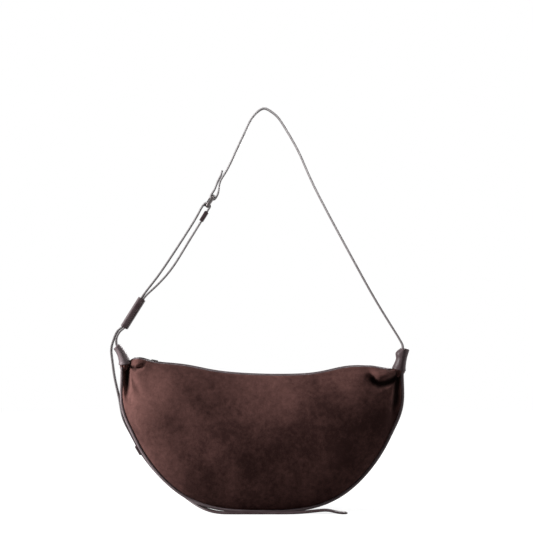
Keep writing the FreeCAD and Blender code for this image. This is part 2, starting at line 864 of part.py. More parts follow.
# The tail crosses under the front seam where the seam has risen clear of the floor
tail_y = -(base_half_depth + piping_radius + 0.45 + strap_width / 2.0)
floor_z = half_strap
tail_points = [
    at(outer_bend_end.x + 0.05, outer_bend_end.z - bend_gap - 0.15),
    at(outer_bend_end.x + 1.3, outer_bend_end.z - 10.5),
    at(outer_bend_end.x + 2.7, outer_bend_end.z - 21.4),
    at(outer_bend_end.x + 4.3, outer_bend_end.z - 32.3),
]
for u in (0.075, 0.11, 0.15, keeper_fraction, 0.226, 0.263):
    tail_points.append(tail_on_gusset(u))
tail_points.append(tail_on_gusset(0.300, -2.0, 0.3))
tail_points.append(tail_on_gusset(0.336, -7.5, 0.8))
tail_crossing = [(-0.465, 0.47, 7.6), (-0.405, 0.73, 2.6), (-0.35, 0.89, 0.4), (-0.29, 0.97, 0.0)]
for x_part, y_part, lift in tail_crossing:
    tail_points.append(V(x_part * crescent_radius, y_part * tail_y, floor_z + lift))
tail_end = tail_tip_x - strap_width / 2.0
run_start = -0.15 * crescent_radius
run_steps = 11


def tail_lift(x):
    spread = tail_hump_rise if x < tail_hump_place else tail_hump_fall
    return tail_hump * math.exp(-((x - tail_hump_place) / spread) ** 2)


for k in range(run_steps + 1):
    place = run_start + (tail_end - run_start) * k / run_steps
    tail_points.append(V(place, tail_y, floor_z + tail_lift(place)))
tail = strip(tail_points)
tip = Part.makeCylinder(strap_width / 2, strap_thickness, V(tail_end, tail_y, 0.0))
save(above_floor(tail).fuse(tip), "strap_tail")


# Keeper loop on the gusset
def keeper_on_gusset():
    x, z, nx, nz = seam_frame(keeper_fraction)
    out = V(nx, 0, nz)
    along = V(nz, 0, -nx)
    inner = tail_gap * 0.6
    tunnel = tail_gap * 2 + strap_thickness
    half_y = strap_width / 2.0 + tail_gap
    base = at(x, z) + out * (crown(keeper_fraction) + inner)

    def block(low, high, half, length):
        piece = Part.makeBox(length, 2 * half, high - low)
        piece.translate(V(-length / 2.0, -half, low))
        turn = FreeCAD.Rotation(along, V(0, 1, 0), out, "XZY")
        piece.Placement = FreeCAD.Placement(base, turn).multiply(piece.Placement)
        return piece

    loop = block(0.0, tunnel + keeper_wall, half_y + keeper_wall, keeper_length)
    return loop.cut(block(-1.0, tunnel, half_y, keeper_length + 2.0))


save(keeper_on_gusset(), "tail_keeper")


# Buckle: a wire frame with two bars, a prong on the upper bar and a loop keeper
def buckle_frame():
    half_y = strap_width / 2.0 + frame_side_clearance + bar_radius
    bend = 3.0
    k = bend * (1 - math.sqrt(0.5))
    a0 = lower_bar
    a1 = upper_bar

    def spot(along, y):
        point = on_left(along, buckle_offset)
        point.y = y
        return point

    c = [spot(a0, -half_y + bend), spot(a0, half_y - bend), spot(a0 + bend, half_y),
         spot(a1 - bend, half_y), spot(a1, half_y - bend), spot(a1, -half_y + bend),
         spot(a1 - bend, -half_y), spot(a0 + bend, -half_y)]
    m = [spot(a0 + k, half_y - k), spot(a1 - k, half_y - k),
         spot(a1 - k, -half_y + k), spot(a0 + k, -half_y + k)]
    edges = []
    for side in range(4):
        start = c[2 * side]
        stop_point = c[2 * side + 1]
        edges.append(Part.makeLine(start, stop_point))
        edges.append(Part.Arc(stop_point, m[side], c[(2 * side + 2) % 8]).toShape())
    return wire_along(edges, bar_radius)


save(buckle_frame(), "buckle_frame")
pivot = on_left(upper_bar, buckle_offset)
half_prong = prong_width / 2.0
eye_start = V(pivot.x, -half_prong, pivot.z)
eye = Part.makeCylinder(bar_radius + prong_clearance + 1.2, prong_width, eye_start, V(0, 1, 0))
shaft_low = buckle_offset + bar_radius + prong_clearance
shaft = left_block(lower_bar - 2.0, upper_bar, shaft_low, shaft_low + prong_thickness, half_prong)
bar_room = Part.makeCylinder(bar_radius + prong_clearance, prong_width + 2.0,
                             V(pivot.x, -half_prong - 1.0, pivot.z), V(0, 1, 0))
save(eye.fuse(shaft).cut(bar_room).removeSplitter(), "buckle_prong")


def left_sleeve(along_from, length, middle, inner_height, wall, clearance):
    half_y = strap_width / 2.0 + clearance
    half_e = inner_height / 2.0
    outer = left_block(along_from, along_from + length, middle - half_e - wall,
                       middle + half_e + wall, half_y + wall)
    inner = left_block(along_from - 1, along_from + length + 1, middle - half_e,
                       middle + half_e, half_y)
    return outer.cut(inner)


sleeve_height = 2 * strap_thickness + strand_gap + 2 * sleeve_clearance
save(left_sleeve(sleeve_start, sleeve_length, sleeve_middle, sleeve_height, sleeve_wall,
                 sleeve_clearance), "strap_sleeve")
save(left_sleeve(lower_bar - 7.0 - buckle_keeper_length, buckle_keeper_length,
                 buckle_offset - back_turn, strap_thickness + 2 * buckle_keeper_clearance, buckle_keeper_wall,
                 buckle_keeper_clearance), "buckle_keeper")
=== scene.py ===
import json
import math

import bmesh
import bpy
import numpy as np
from bpy.props import FloatProperty, FloatVectorProperty, PointerProperty
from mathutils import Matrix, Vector


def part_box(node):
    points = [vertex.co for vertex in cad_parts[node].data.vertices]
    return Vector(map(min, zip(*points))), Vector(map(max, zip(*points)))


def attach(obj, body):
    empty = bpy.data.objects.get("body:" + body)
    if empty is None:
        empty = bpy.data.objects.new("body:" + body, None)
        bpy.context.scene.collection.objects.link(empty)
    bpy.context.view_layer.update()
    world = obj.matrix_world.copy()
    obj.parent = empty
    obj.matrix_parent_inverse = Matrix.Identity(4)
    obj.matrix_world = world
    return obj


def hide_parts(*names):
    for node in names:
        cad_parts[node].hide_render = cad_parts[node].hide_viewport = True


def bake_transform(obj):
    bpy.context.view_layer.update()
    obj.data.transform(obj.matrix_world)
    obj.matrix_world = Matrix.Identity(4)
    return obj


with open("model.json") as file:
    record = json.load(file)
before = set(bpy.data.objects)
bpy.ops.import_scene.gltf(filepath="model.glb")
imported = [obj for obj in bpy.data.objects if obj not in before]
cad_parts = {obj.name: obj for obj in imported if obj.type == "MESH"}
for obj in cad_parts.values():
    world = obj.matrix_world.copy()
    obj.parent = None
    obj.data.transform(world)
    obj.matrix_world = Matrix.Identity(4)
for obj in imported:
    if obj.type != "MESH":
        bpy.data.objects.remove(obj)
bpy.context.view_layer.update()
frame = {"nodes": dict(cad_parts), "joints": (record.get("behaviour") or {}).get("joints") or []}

bl_info = {
    "name": "Half moon bag",
    "version": (1, 0, 0),
    "blender": (4, 5, 0),
    "location": "3D View > Sidebar > Bag",
    "description": "Dresses a half moon bag in suede, leather, cloth and metal",
    "category": "Object",
}

MM = 0.001
BACK = np.array((0.0, 1.0, 0.0))
SIDES = (("front", -1.0), ("back", 1.0))
WHITE = (1.0, 1.0, 1.0, 1.0)

# Gaps between pieces of the strap, and sizes that several pieces share
STRAND_GAP = 0.3 * MM
BEND_GAP = 0.3 * MM
LOOP_GAP = 0.35 * MM
PRONG_GAP = 0.1 * MM
TAIL_GAP = 0.25 * MM
KEEPER_GAP = 0.4 * MM
STRAP_CORNER = 0.75 * MM
CLOTH = 0.6 * MM
STITCH_PITCH = 3.4 * MM
STITCH_RADIUS = 0.28 * MM


def length(label, millimetres, words):
    """A length in metres, written in millimetres."""
    return FloatProperty(name=label, description=words, default=millimetres * MM, unit="LENGTH")


def turned(label, degrees, words):
    """An angle, written in degrees."""
    return FloatProperty(name=label, description=words, default=math.radians(degrees),
                         subtype="ANGLE")


def amount(label, value, words):
    """A plain number."""
    return FloatProperty(name=label, description=words, default=value)


def colour(label, value, words):
    """A linear colour."""
    return FloatVectorProperty(name=label, description=words, default=value, subtype="COLOR",
                               size=3, min=0.0, max=1.0)


class BagSizes(bpy.types.PropertyGroup):
    """Sizes of the bag's body, zip and corner tabs."""
    middle_x: length("Middle", 5.0, "Place of the bag's middle along X")
    radius: length("Crescent radius", 190.0, "Radius of the half round seam")
    widest: length("Widest height", 182.0, "Height of the crescent's centre")
    lowest: length("Seam height", 1.6, "Height of the seam above the floor at its lowest point")
    left_rise: length("Left rise", 12.0, "Straight side above the centre, left")
    right_rise: length("Right rise", 6.0, "Straight side above the centre, right")
    flat_spread: turned("Flat spread", 21.0, "Angle over which the bottom is flattened")
    lower_fullness: length("Lower fullness", 1.7, "Swell of the seam between bottom and sides")
    lower_angle: turned("Lower angle", 33.0, "Angle from the bottom where that swell is greatest")
    lower_spread: turned("Lower spread", 14.0, "Angle over which that swell fades")
    side_fullness: length("Side fullness", 3.0, "Swell of the seam at its sides")
    side_angle: turned("Side angle", 64.0, "Angle from the bottom where the side swell starts")
    base_half: length("Half depth", 33.0, "Half the depth of the gusset at the bottom")
    corner_half: length("Corner half depth", 6.5, "Half the depth at the tabs")
    bulge: length("Panel bulge", 16.0, "How far a panel stands out at the middle")
    thickness: length("Suede", 1.6, "Thickness of the suede and of the gusset's leather")
    piping: length("Piping radius", 2.0, "Radius of the leather piping")
    crown: length("Gusset crown", 3.6, "Rise of the gusset between the seams at the sides")
    recess: length("Gusset recess", 1.0, "Dip of the gusset at the bottom")
    top_half: length("Half length of the top", 178.0, "Half the length of the opening's edge")
    opening_half: length("Half opening", 13.0, "Half the width of the opening")
    opening_corner: length("Half opening at the ends", 5.5, "Half the width at the corners")
    zip_x: length("Zip low point", 25.0, "Place of the zip's lowest point")
    zip_low: length("Zip height", 179.5, "Height of the zip at its lowest point")
    zip_radius: length("Zip radius", 900.0, "Radius of the zip's arc")
    zip_left: length("Zip left end", -154.0, "Left end of the zip")
    zip_right: length("Zip right end", 150.0, "Right end of the zip")
    lip: length("Lip", 3.4, "Height of the panel's edge above the zip")
    left_hump: length("Left hump", 3.6, "Rise of the top edge on the left")
    right_hump: length("Right hump", 6.4, "Rise of the top edge on the right")
    puff: length("Left puff", 4.2, "Rise of the gathered suede beside the left tab")
    binding: length("Binding height", 2.4, "Height of the leather edge of the opening")
    tape_inner: length("Tape inner edge", 2.6, "Distance of a tape from the zip's middle line")
    tape_outer: length("Tape outer edge", 10.75, "Distance of its sewn edge from that line")
    tape_thickness: length("Tape thickness", 0.7, "Thickness of a zip tape")
    tooth_pitch: length("Tooth pitch", 3.2, "Distance from tooth to tooth")
    slider: length("Slider length", 14.0, "Length of the zip slider")
    crease: length("Crease depth", 12.0, "Depth of the gathered creases beside the tabs")
    roll: length("Roll", 3.6, "Rise of the suede between the creases and the top edge")


class StrapSizes(bpy.types.PropertyGroup):
    """Sizes of the strap and of what is on it."""
    width: length("Strap width", 14.0, "Width of the strap")
    thickness: length("Strap thickness", 2.4, "Thickness of the strap")
    peak_x: length("Peak place", 2.7, "Place of the strap's highest point")
    rise: length("Strap rise", 321.0, "Height of the peak above the left tab")
    bend: length("Bend", 17.0, "Length of strap that bends beside a tab")
    sleeve_start: length("Sleeve start", 26.5, "Start of the sleeve along the left strand")
    sleeve_middle: length("Sleeve place", 3.4, "Offset of the sleeve from the straight line")
    sleeve_length: length("Sleeve length", 44.5, "Length of the sleeve")
    sleeve_wall: length("Sleeve wall", 1.8, "Thickness of the sleeve's leather")
    sleeve_room: length("Sleeve room", 1.0, "Room round the strands in the sleeve")
    sway: length("Inner sway", 3.3, "How far the inner strand bows out below the sleeve")
    outer_sway: length("Outer sway", 3.75, "How far the outer strand bows out below the sleeve")
    drop: length("Strand drop", 10.8, "How far the inner strand hangs below the outer one")
    buckle: length("Buckle place", 232.5, "Middle of the buckle along the left strand")
    buckle_drop: length("Buckle drop", -5.0, "Offset of the buckle from the straight line")
    bar_radius: length("Bar radius", 2.0, "Radius of the buckle's wire")
    bar_spacing: length("Bar spacing", 15.0, "Distance between the buckle's two bars")
    prong: length("Prong thickness", 1.8, "Thickness of the prong")
    hole: length("Hole radius", 1.6, "Radius of the strap's holes")
    hole_pitch: length("Hole pitch", 20.0, "Distance from hole to hole")
    keeper_length: length("Keeper length", 12.0, "Length of the loop on the gusset")
    keeper_place: amount("Keeper place", 0.188, "Place of that loop along the seam, 0 to 1")
    tail_tip: length("Tail tip", 114.0, "Place of the tail's tip along X")
    tail_lift: length("Tail lift", 3.5, "Height of the hump near the tail's tip")
    tail_hump: length("Hump place", 86.0, "Place of that hump along X")
    mouth_shift: length("Strap place", 0.3, "Offset of the strap from a tab's middle line")


class BagColours(bpy.types.PropertyGroup):
    """Linear colours of the finishes."""
    suede: colour("Suede", (0.165, 0.0775, 0.0685), "Suede with its nap raised")
    # Painted shade: suede_fold is the near black that the suede takes in its deep creases, where
    # shade falls.
    suede_fold: colour("Suede in folds", (0.012, 0.0055, 0.005), "Suede pressed in a deep fold")
    suede_dark: colour("Suede, brushed", (0.036, 0.0155, 0.014), "Suede with its nap laid flat")
    leather: colour("Leather", (0.044, 0.0258, 0.0284), "Smooth leather")
    leather_light: colour("Leather, worn", (0.084, 0.060, 0.063), "Leather where it is rubbed")
    # Painted light: leather_pale is a pale, lit copy of the leather for the binding and for the
    # piping and tabs on the lit left.
    leather_pale: colour("Leather, pale", (0.215, 0.168, 0.178), "Palest piping and tabs")
    # The strap's cut edge: paler as raw leather and, beyond that, painted light where the edges
    # catch the lamps; edge_painted_light is a painted highlight on the upper strap's edges.
    edge: colour("Cut edge", (0.290, 0.268, 0.272), "Cut edge of the strap")
    edge_painted_light: colour("Cut edge, worn", (0.560, 0.535, 0.540), "Edge of the strap's upper half")
    lining: colour("Lining", (0.150, 0.105, 0.075), "Woven lining")
    tape: colour("Zip tape", (0.030, 0.019, 0.018), "Woven zip tape")
    metal: colour("Metal", (0.105, 0.092, 0.091), "Dark nickel")
    thread: colour("Thread", (0.050, 0.028, 0.025), "Sewing thread")
    floor: colour("Floor", (0.250, 0.250, 0.250), "Light that the floor throws back")


def sizes():
    """The bag's sizes in this scene."""
    return bpy.context.scene.bag_sizes


def strap_sizes():
    """The strap's sizes in this scene."""
    return bpy.context.scene.strap_sizes


# Shader maths

class Wire:
    """A socket, on which plain arithmetic adds Math nodes."""

    def __init__(self, finish, socket):
        self.finish = finish
        self.socket = socket

    def _math(self, operation, first, second):
        return self.finish.node("ShaderNodeMath", {"operation": operation}, {0: first, 1: second})

    def __add__(self, other):
        return self._math("ADD", self, other)

    def __sub__(self, other):
        return self._math("SUBTRACT", self, other)

    def __rsub__(self, other):
        return self._math("SUBTRACT", other, self)

    def __mul__(self, other):
        return self._math("MULTIPLY", self, other)

    __radd__ = __add__
    __rmul__ = __mul__


class Finish:
    """A material and the one method that adds any node to it."""

    def __init__(self, name, tree=None):
        if tree is None:
            self.material = bpy.data.materials.new(name)
            self.material.use_nodes = True
            tree = self.material.node_tree
        self.tree = tree
        tree.nodes.clear()

    def node(self, kind, settings=None, inputs=None, output=0):
        """Adds a node with its settings and its sockets' values or links; gives one output."""
        made = self.tree.nodes.new(kind)
        for key, value in (settings or {}).items():
            setattr(made, key, value)
        for key, value in (inputs or {}).items():
            socket = made.inputs[key]
            if isinstance(value, Wire):
                self.tree.links.new(value.socket, socket)
            else:
                socket.default_value = value
        return Wire(self, made.outputs[output]) if made.outputs else made

    def place(self, scale=(1.0, 1.0, 1.0)):
        """Object coordinates, scaled."""
        where = self.node("ShaderNodeTexCoord", output="Object")
        return self.node("ShaderNodeMapping", None, {"Vector": where, "Scale": scale})

    def axis(self, where, name):
        """One coordinate of a place."""
        return self.node("ShaderNodeSeparateXYZ", None, {0: where}, output=name)

    def mark(self, name):
        """A value that the mesh holds at its points."""
        return self.node("ShaderNodeAttribute", {"attribute_name": name}, output="Fac")

    def noise(self, where, scale, detail=2.0, roughness=0.5, distortion=0.0):
        """Clouds of a scale."""
        return self.node("ShaderNodeTexNoise", None, {
            "Vector": where, "Scale": scale, "Detail": detail, "Roughness": roughness,
            "Distortion": distortion})

    def wave(self, where, direction, scale, distortion=0.0):
        """Straight bands in a direction."""
        return self.node("ShaderNodeTexWave", {"bands_direction": direction}, {
            "Vector": where, "Scale": scale, "Distortion": distortion}, output="Fac")

    def stretch(self, value, low, high, new_low=0.0, new_high=1.0):
        """Maps low to high onto a new range and holds it there."""
        return self.node("ShaderNodeMapRange", {"clamp": True},
                         {0: value, 1: low, 2: high, 3: new_low, 4: new_high})

    def blend(self, factor, first, second):
        """A colour between two."""
        return self.node("ShaderNodeMix", {"data_type": "RGBA"},
                         {"Factor": factor, 6: tone(first), 7: tone(second)}, output=2)

    def bump(self, height, strength, distance):
        """A normal from a height."""
        return self.node("ShaderNodeBump", None, {"Height": height, "Strength": strength,
                                                  "Distance": distance})

    def close(self, **inputs):
        """Ends the material with one shader that has these sockets."""
        shader = self.node("ShaderNodeBsdfPrincipled", None,
                           {key.replace("_", " "): value for key, value in inputs.items()})
        self.node("ShaderNodeOutputMaterial", None, {"Surface": shader})
        return self.material


def tone(value):
    """A colour with its alpha, or a wire as it is."""
    return value if isinstance(value, Wire) else tuple(value) + (1.0,)


def darker(value, share):
    """A share of a colour."""
    return tuple(share * part for part in value)


# Painted light on the suede, lighter where its left end and upper band face the lamps: middle
# across and up, reach, and how far the colour is raised there
PAINTED_LIGHT_PLACES = (
    (-0.152, 0.155, 0.047, 0.14),
    (0.016, 0.170, 0.065, 0.12),
    (0.135, 0.180, 0.060, 0.10),
)
# Painted light and shade across the bag: lighter towards the left end that faces the key lamp,
# darker towards the right that turns away from it, and lighter on the strip at the right edge:
# from, to, and how far the colour is raised at each of them
PAINTED_LIGHT_AND_SHADE_SLOPES = (
    (-0.17, -0.03, 0.10, 0.0),
    (0.02, 0.12, 0.0, -0.03),
    (0.187, 0.193, 0.0, 0.20),
)
NAP_LAID = 0.075


def suede_finish(name, colours):
    """Nap in patches, clouds, tufts and fibres, with painted light on the left end, the upper
    band and the right strip, and painted shade towards the right and in the folds.
    """
    f = Finish(name)
    where = f.place()
    x = f.axis(where, "X")
    z = f.axis(where, "Z")
    patches = f.noise(where, 12.0, 3.0, 0.55, 0.8)
    clouds = f.noise(where, 42.0, 3.0, 0.6, 0.5)
    tufts = f.noise(where, 170.0, 3.0, 0.7)
    fibre = f.noise(where, 950.0, 2.0, 0.7)
    nap = patches * 0.26 + clouds * 0.26 + tufts * 0.30 + fibre * 0.18
    # Painted light: the suede's tone is lifted near each of these places.
    for from_x, from_z, reach, lift in PAINTED_LIGHT_PLACES:
        across = x - from_x
        up = z - from_z
        near = f.stretch(across * across + up * up, 0.0, reach * reach, 1.0, 0.0)
        nap = nap + near * lift
    # Painted light and shade: the suede's tone rises and falls slowly across the bag.
    for start, end, at_start, at_end in PAINTED_LIGHT_AND_SHADE_SLOPES:
        nap = nap + f.stretch(x, start, end, at_start, at_end)
    # raised holds the nap's random tone together with the painted light and shade added above.
    raised = f.stretch(nap - NAP_LAID, 0.36, 0.74)
    nap_and_painted_light = f.blend(raised, colours.suede_dark, colours.suede)
    # Painted shade: the suede turns to suede_fold where the crease depth kept at its points is
    # deep.
    fold_shade = f.stretch(f.mark("fold"), 0.30, 0.90)
    return f.close(
        Base_Color=f.blend(fold_shade, nap_and_painted_light, colours.suede_fold),
        Roughness=0.92 + fibre * 0.06,
        Normal=f.bump(clouds * 0.9 + tufts * 0.6 + fibre * 0.6, 0.5, 0.0010),
        Specular_IOR_Level=0.05,
        Sheen_Weight=0.05,
        Sheen_Roughness=0.45,
        Sheen_Tint=tone((0.62, 0.42, 0.38)),
    )


def leather_finish(name, colours, gloss=0.34, grain=620.0, edged=False, painted_light=None):
    """Pebbled grain, soft gloss and rubbed places.

    An edged leather is paler at its cut edges, partly as raw leather and partly as painted
    light, and palest high on the strap, which is painted light. painted_light gives the share
    of a painted lit copy of the leather at the left and at the right of the bag.
    """
    f = Finish(name)
    where = f.place()
    cells = f.node("ShaderNodeTexVoronoi", {"feature": "SMOOTH_F1"},
                   {"Vector": where, "Scale": grain, "Smoothness": 0.6})
    cloud = f.noise(where, 55.0, 4.0, 0.6)
    pores = f.noise(where, 1500.0, 2.0)
    rubbed = f.stretch(cloud, 0.38, 0.72)
    face = f.blend(rubbed, colours.leather, colours.leather_light)
    # Painted light: a lit copy of the leather, blended in by its share at the left and at the
    # right.
    if painted_light:
        painted_lit_face = f.blend(rubbed * 0.5 + 0.5, colours.leather_light, colours.leather_pale)
        share = f.stretch(f.axis(where, "X"), -0.12, 0.10, *painted_light)
        face = f.blend(share, face, painted_lit_face)
    if edged:
        # Painted light: the cut edges go from edge to edge_painted_light as the strap rises.
        high = f.stretch(f.axis(where, "Z"), 0.29, 0.44)
        cut = f.blend(high, colours.edge, colours.edge_painted_light)
        on_edge = f.stretch(f.mark("edge") * (0.8 + cloud * 0.4), 0.45, 0.95)
        face = f.blend(on_edge, face, cut)
    return f.close(
        Base_Color=face,
        Roughness=gloss + cloud * 0.16 + pores * 0.05,
        Normal=f.bump(cells * 0.8 + cloud * 0.5 + pores * 0.15, 0.35, 0.0005),
        Specular_IOR_Level=0.14,
        Coat_Weight=0.03,
        Coat_Roughness=0.3,
    )


def cloth_finish(name, thread, pitch, roughness=0.9):
    """Weave of two sets of threads, one slanting over the other."""
    f = Finish(name)
    where = f.place()
    warp = f.wave(where, "X", pitch, 0.4)
    weft = f.wave(where, "DIAGONAL", pitch, 0.4)
    slub = f.noise(where, 160.0, 3.0)
    weave = warp * 0.5 + weft * 0.5
    shown = f.stretch(weave * 0.7 + slub * 0.4, 0.2, 0.9)
    return f.close(
        Base_Color=f.blend(shown, darker(thread, 0.6), thread),
        Roughness=roughness - slub * 0.1,
        Normal=f.bump(weave, 0.5, 0.0002),
        Specular_IOR_Level=0.2,
        Sheen_Weight=0.1,
    )


def metal_finish(name, colours):
    """Dark nickel with fine polishing lines."""
    f = Finish(name)
    lines = f.noise(f.place((300.0, 2400.0, 300.0)), 1.0, 3.0)
    cloud = f.noise(f.place(), 120.0, 3.0)
    return f.close(
        Base_Color=f.blend(cloud, darker(colours.metal, 0.7), colours.metal),
        Metallic=1.0,
        Roughness=0.22 + lines * 0.16,
        Normal=f.bump(lines, 0.08, 0.0001),
    )


def thread_finish(name, colours):
    """Twisted thread: slanting light and dark strands."""
    f = Finish(name)
    twist = f.wave(f.place(), "DIAGONAL", 900.0)
    return f.close(
        Base_Color=f.blend(twist, darker(colours.thread, 0.5), colours.thread),
        Roughness=0.6 + twist * 0.2,
        Normal=f.bump(twist, 0.4, 0.0001),
    )


LEATHERS = {
    "leather": {},
    "strap_leather": {"gloss": 0.36, "grain": 520.0, "edged": True},
    # binding, piping and tab take painted light: half the lit copy evenly on the binding, and more
    # on the left than the right on the piping and tabs.
    "binding": {"gloss": 0.36, "grain": 520.0, "painted_light": (0.5, 0.5)},
    "piping": {"gloss": 0.32, "painted_light": (1.0, 0.45)},
    "tab": {"painted_light": (1.0, 0.0)},
}
# The record's material slot of each finish that isn't leather or sewn on leather
FINISHES = {}


def finish(kind):
    """The shared material of that kind, made when it is first asked for."""
    if kind not in FINISHES:
        colours = bpy.context.scene.bag_colours
        makers = {
            "suede": lambda: suede_finish("suede", colours),
            "lining": lambda: cloth_finish("lining", tuple(colours.lining), 320.0),
            "tape": lambda: cloth_finish("zip_tape", tuple(colours.tape), 480.0, 0.8),
            "metal": lambda: metal_finish("metal", colours),
            "thread": lambda: thread_finish("thread", colours),
        }
        if kind in LEATHERS:
            FINISHES[kind] = leather_finish(kind, colours, **LEATHERS[kind])
        else:
            FINISHES[kind] = makers[kind]()
    return FINISHES[kind]


# Meshes from arrays

def in_frame(points):
    """Points counted from the bag's middle, as rows of three in the frame."""
    points = np.asarray(points, float).reshape(-1, 3)
    return points + np.array((sizes().middle_x, 0.0, 0.0))


def outward_mesh(name, points, faces):
    """A mesh with points that lie on each other joined and its faces turned outwards."""
    mesh = bpy.data.meshes.new(name)
    mesh.from_pydata(in_frame(points).tolist(), [], faces)
    work = bmesh.new()
    work.from_mesh(mesh)
    bmesh.ops.remove_doubles(work, verts=work.verts, dist=1e-7)
    bmesh.ops.recalc_face_normals(work, faces=work.faces)
    work.to_mesh(mesh)
    work.free()
    return mesh


def add_object(name, data, collection):
    """A new object for the data, in the collection."""
    made = bpy.data.objects.new(name, data)
    collection.objects.link(made)
    return made


def cut_away(piece, prisms, sharp):
    """Takes straight blocks out of a piece by exact booleans, applied to its mesh at once."""
    cutters = []
    for grid in prisms:
        mesh = outward_mesh("cutter", grid, tube_faces(*grid.shape[:2]))
        cutters.append(add_object("cutter", mesh, bpy.context.collection))
        cut = piece.modifiers.new("cut", "BOOLEAN")
        cut.operation = "DIFFERENCE"
        cut.solver = "EXACT"
        cut.object = cutters[-1]
    graph = bpy.context.evaluated_depsgraph_get()
    mesh = bpy.data.meshes.new_from_object(piece.evaluated_get(graph), depsgraph=graph,
                                           preserve_all_data_layers=True)
    piece.modifiers.clear()
    piece.data = mesh
    mesh.set_sharp_from_angle(angle=math.radians(sharp))
    for cutter in cutters:
        bpy.data.objects.remove(cutter)


def make_piece(name, points, faces, kind, *nodes, body="bag", sharp=40.0, marks=None, prisms=()):
    """A closed piece of the points and faces, which rides on a body and replaces nodes.

    A piece without a body stays unattached. Edges bent by more than sharp degrees stay sharp.
    marks are values at the points that a finish reads, and prisms are blocks that are cut out
    of the piece.
    """
    mesh = outward_mesh(name, points, faces)
    mesh.polygons.foreach_set("use_smooth", [True] * len(mesh.polygons))
    mesh.set_sharp_from_angle(angle=math.radians(sharp))
    for mark, values in (marks or {}).items():
        layer = mesh.attributes.new(mark, "FLOAT", "POINT")
        layer.data.foreach_set("value", np.ravel(values).astype(np.float32))
    mesh.materials.append(finish(kind))
    piece = add_object(name, mesh, bpy.context.collection)
    if prisms:
        cut_away(piece, prisms, sharp)
    if body:
        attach(piece, body)
    if nodes:
        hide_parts(*nodes)
    return piece


def make_tube(name, grid, kind, *nodes, **more):
    """A piece from a grid that is closed round its columns and capped at both ends."""
    return make_piece(name, grid, tube_faces(*grid.shape[:2]), kind, *nodes, **more)


def make_ring(name, grid, kind, *nodes, **more):
    """A piece from a grid that is closed both ways."""
    return make_piece(name, grid, quads(*grid.shape[:2], True, True), kind, *nodes, **more)


def quads(rows, cols, around=False, closed=False):
    """Faces of a grid; around joins its last column to its first, closed its last row too."""
    spans = np.arange(cols if around else cols - 1)
    i, j = np.meshgrid(np.arange(rows if closed else rows - 1), spans, indexing="ij")
    n = (i + 1) % rows
    k = (j + 1) % cols
    faces = np.stack((i * cols + j, i * cols + k, n * cols + k, n * cols + j), -1)
    return faces.reshape(-1, 4).tolist()


def tube_faces(rows, cols):
    """Faces of a grid that is closed round its columns and capped at both ends."""
    first = list(range(cols))
    last = list(range((rows - 1) * cols, rows * cols))
    return quads(rows, cols, True) + [first[::-1], last]


def many_tubes(count, rows, cols):
    """Faces of several tubes of the same size, one after the other."""
    one = tube_faces(rows, cols)
    starts = range(0, count * rows * cols, rows * cols)
    return [[start + k for k in face] for start in starts for face in one]


def skin(outer, inner):
    """Points and faces of a sheet between two grids, closed along all four edges."""
    rows, cols = outer.shape[:2]
    ring = np.concatenate((outer, inner[:, ::-1]), 1)
    width = 2 * cols
    faces = quads(rows, width, True)
    j = np.arange(cols - 1)
    for base in (0, (rows - 1) * width):
        far = base + width - 1 - j
        faces += np.stack((base + j, base + j + 1, far - 1, far), -1).tolist()
    return ring, faces


def unit(vectors):
    """Each vector divided by its length."""
    return vectors / np.linalg.norm(vectors, axis=-1, keepdims=True)


def smooth_step(value):
    """From 0 to 1, level at both ends: 3 v squared less 2 v cubed."""
    value = np.clip(value, 0.0, 1.0)
    return value * value * (3 - 2 * value)


def bell(value, spread):
    """Bell curve: e to the power of minus the square of value over spread."""
    return np.exp(-(value / spread) ** 2)


def run_along(points):
    """Distance along a line of points, from 0 at its first."""
    return np.concatenate(([0.0], np.cumsum(np.linalg.norm(np.diff(points, axis=0), axis=1))))


def spline(points, count):
    """Natural cubic curve through the points, measured by chord length, at even places."""
    points = np.asarray(points, float)
    knots = run_along(points)
    steps = np.diff(knots)
    size = len(points)
    system = np.eye(size)
    right = np.zeros((size, 3))
    inner = np.arange(1, size - 1)
    system[inner, inner - 1] = steps[:-1]
    system[inner, inner] = 2 * (steps[:-1] + steps[1:])
    system[inner, inner + 1] = steps[1:]
    slopes = np.diff(points, axis=0) / steps[:, None]
    right[1:-1] = 6 * np.diff(slopes, axis=0)
    bends = np.linalg.solve(system, right)

    def value(places):
        k = np.clip(np.searchsorted(knots, places) - 1, 0, size - 2)
        a = (knots[k + 1] - places)[:, None]
        b = (places - knots[k])[:, None]
        h = steps[k][:, None]
        curve = (bends[k] * a ** 3 + bends[k + 1] * b ** 3) / (6 * h)
        first = (points[k] / h - bends[k] * h / 6) * a
        second = (points[k + 1] / h - bends[k + 1] * h / 6) * b
        return curve + first + second

    dense = np.linspace(0.0, knots[-1], 40 * size)
    run = run_along(value(dense))
    return value(np.interp(np.linspace(0.0, run[-1], count), run, dense))


def turns(count):
    """Angles evenly round a circle."""
    return np.linspace(0.0, 2 * math.pi, count, endpoint=False)


def circle(radius, count):
    """Points evenly round a circle."""
    return np.stack((np.cos(turns(count)), np.sin(turns(count))), -1) * radius


def box_profile(half_a, half_b, corner, per_corner=4):
    """A rectangle with rounded corners: quarter circles joined by straight sides."""
    turn = np.linspace(0.0, math.pi / 2, per_corner)
    points = []
    for k, (sa, sb) in enumerate(((1, 1), (-1, 1), (-1, -1), (1, -1))):
        angle = turn + k * math.pi / 2
        points.append(np.stack((sa * (half_a - corner) + corner * np.cos(angle),
                                sb * (half_b - corner) + corner * np.sin(angle)), -1))
    return np.concatenate(points)


def superellipse(half_a, half_b, turn, power):
    """Rounded rectangle: cosine and sine raised to a small power."""
    c = np.cos(turn)
    d = np.sin(turn)
    return (half_a * np.sign(c) * np.abs(c) ** (2 / power),
            half_b * np.sign(d) * np.abs(d) ** (2 / power))


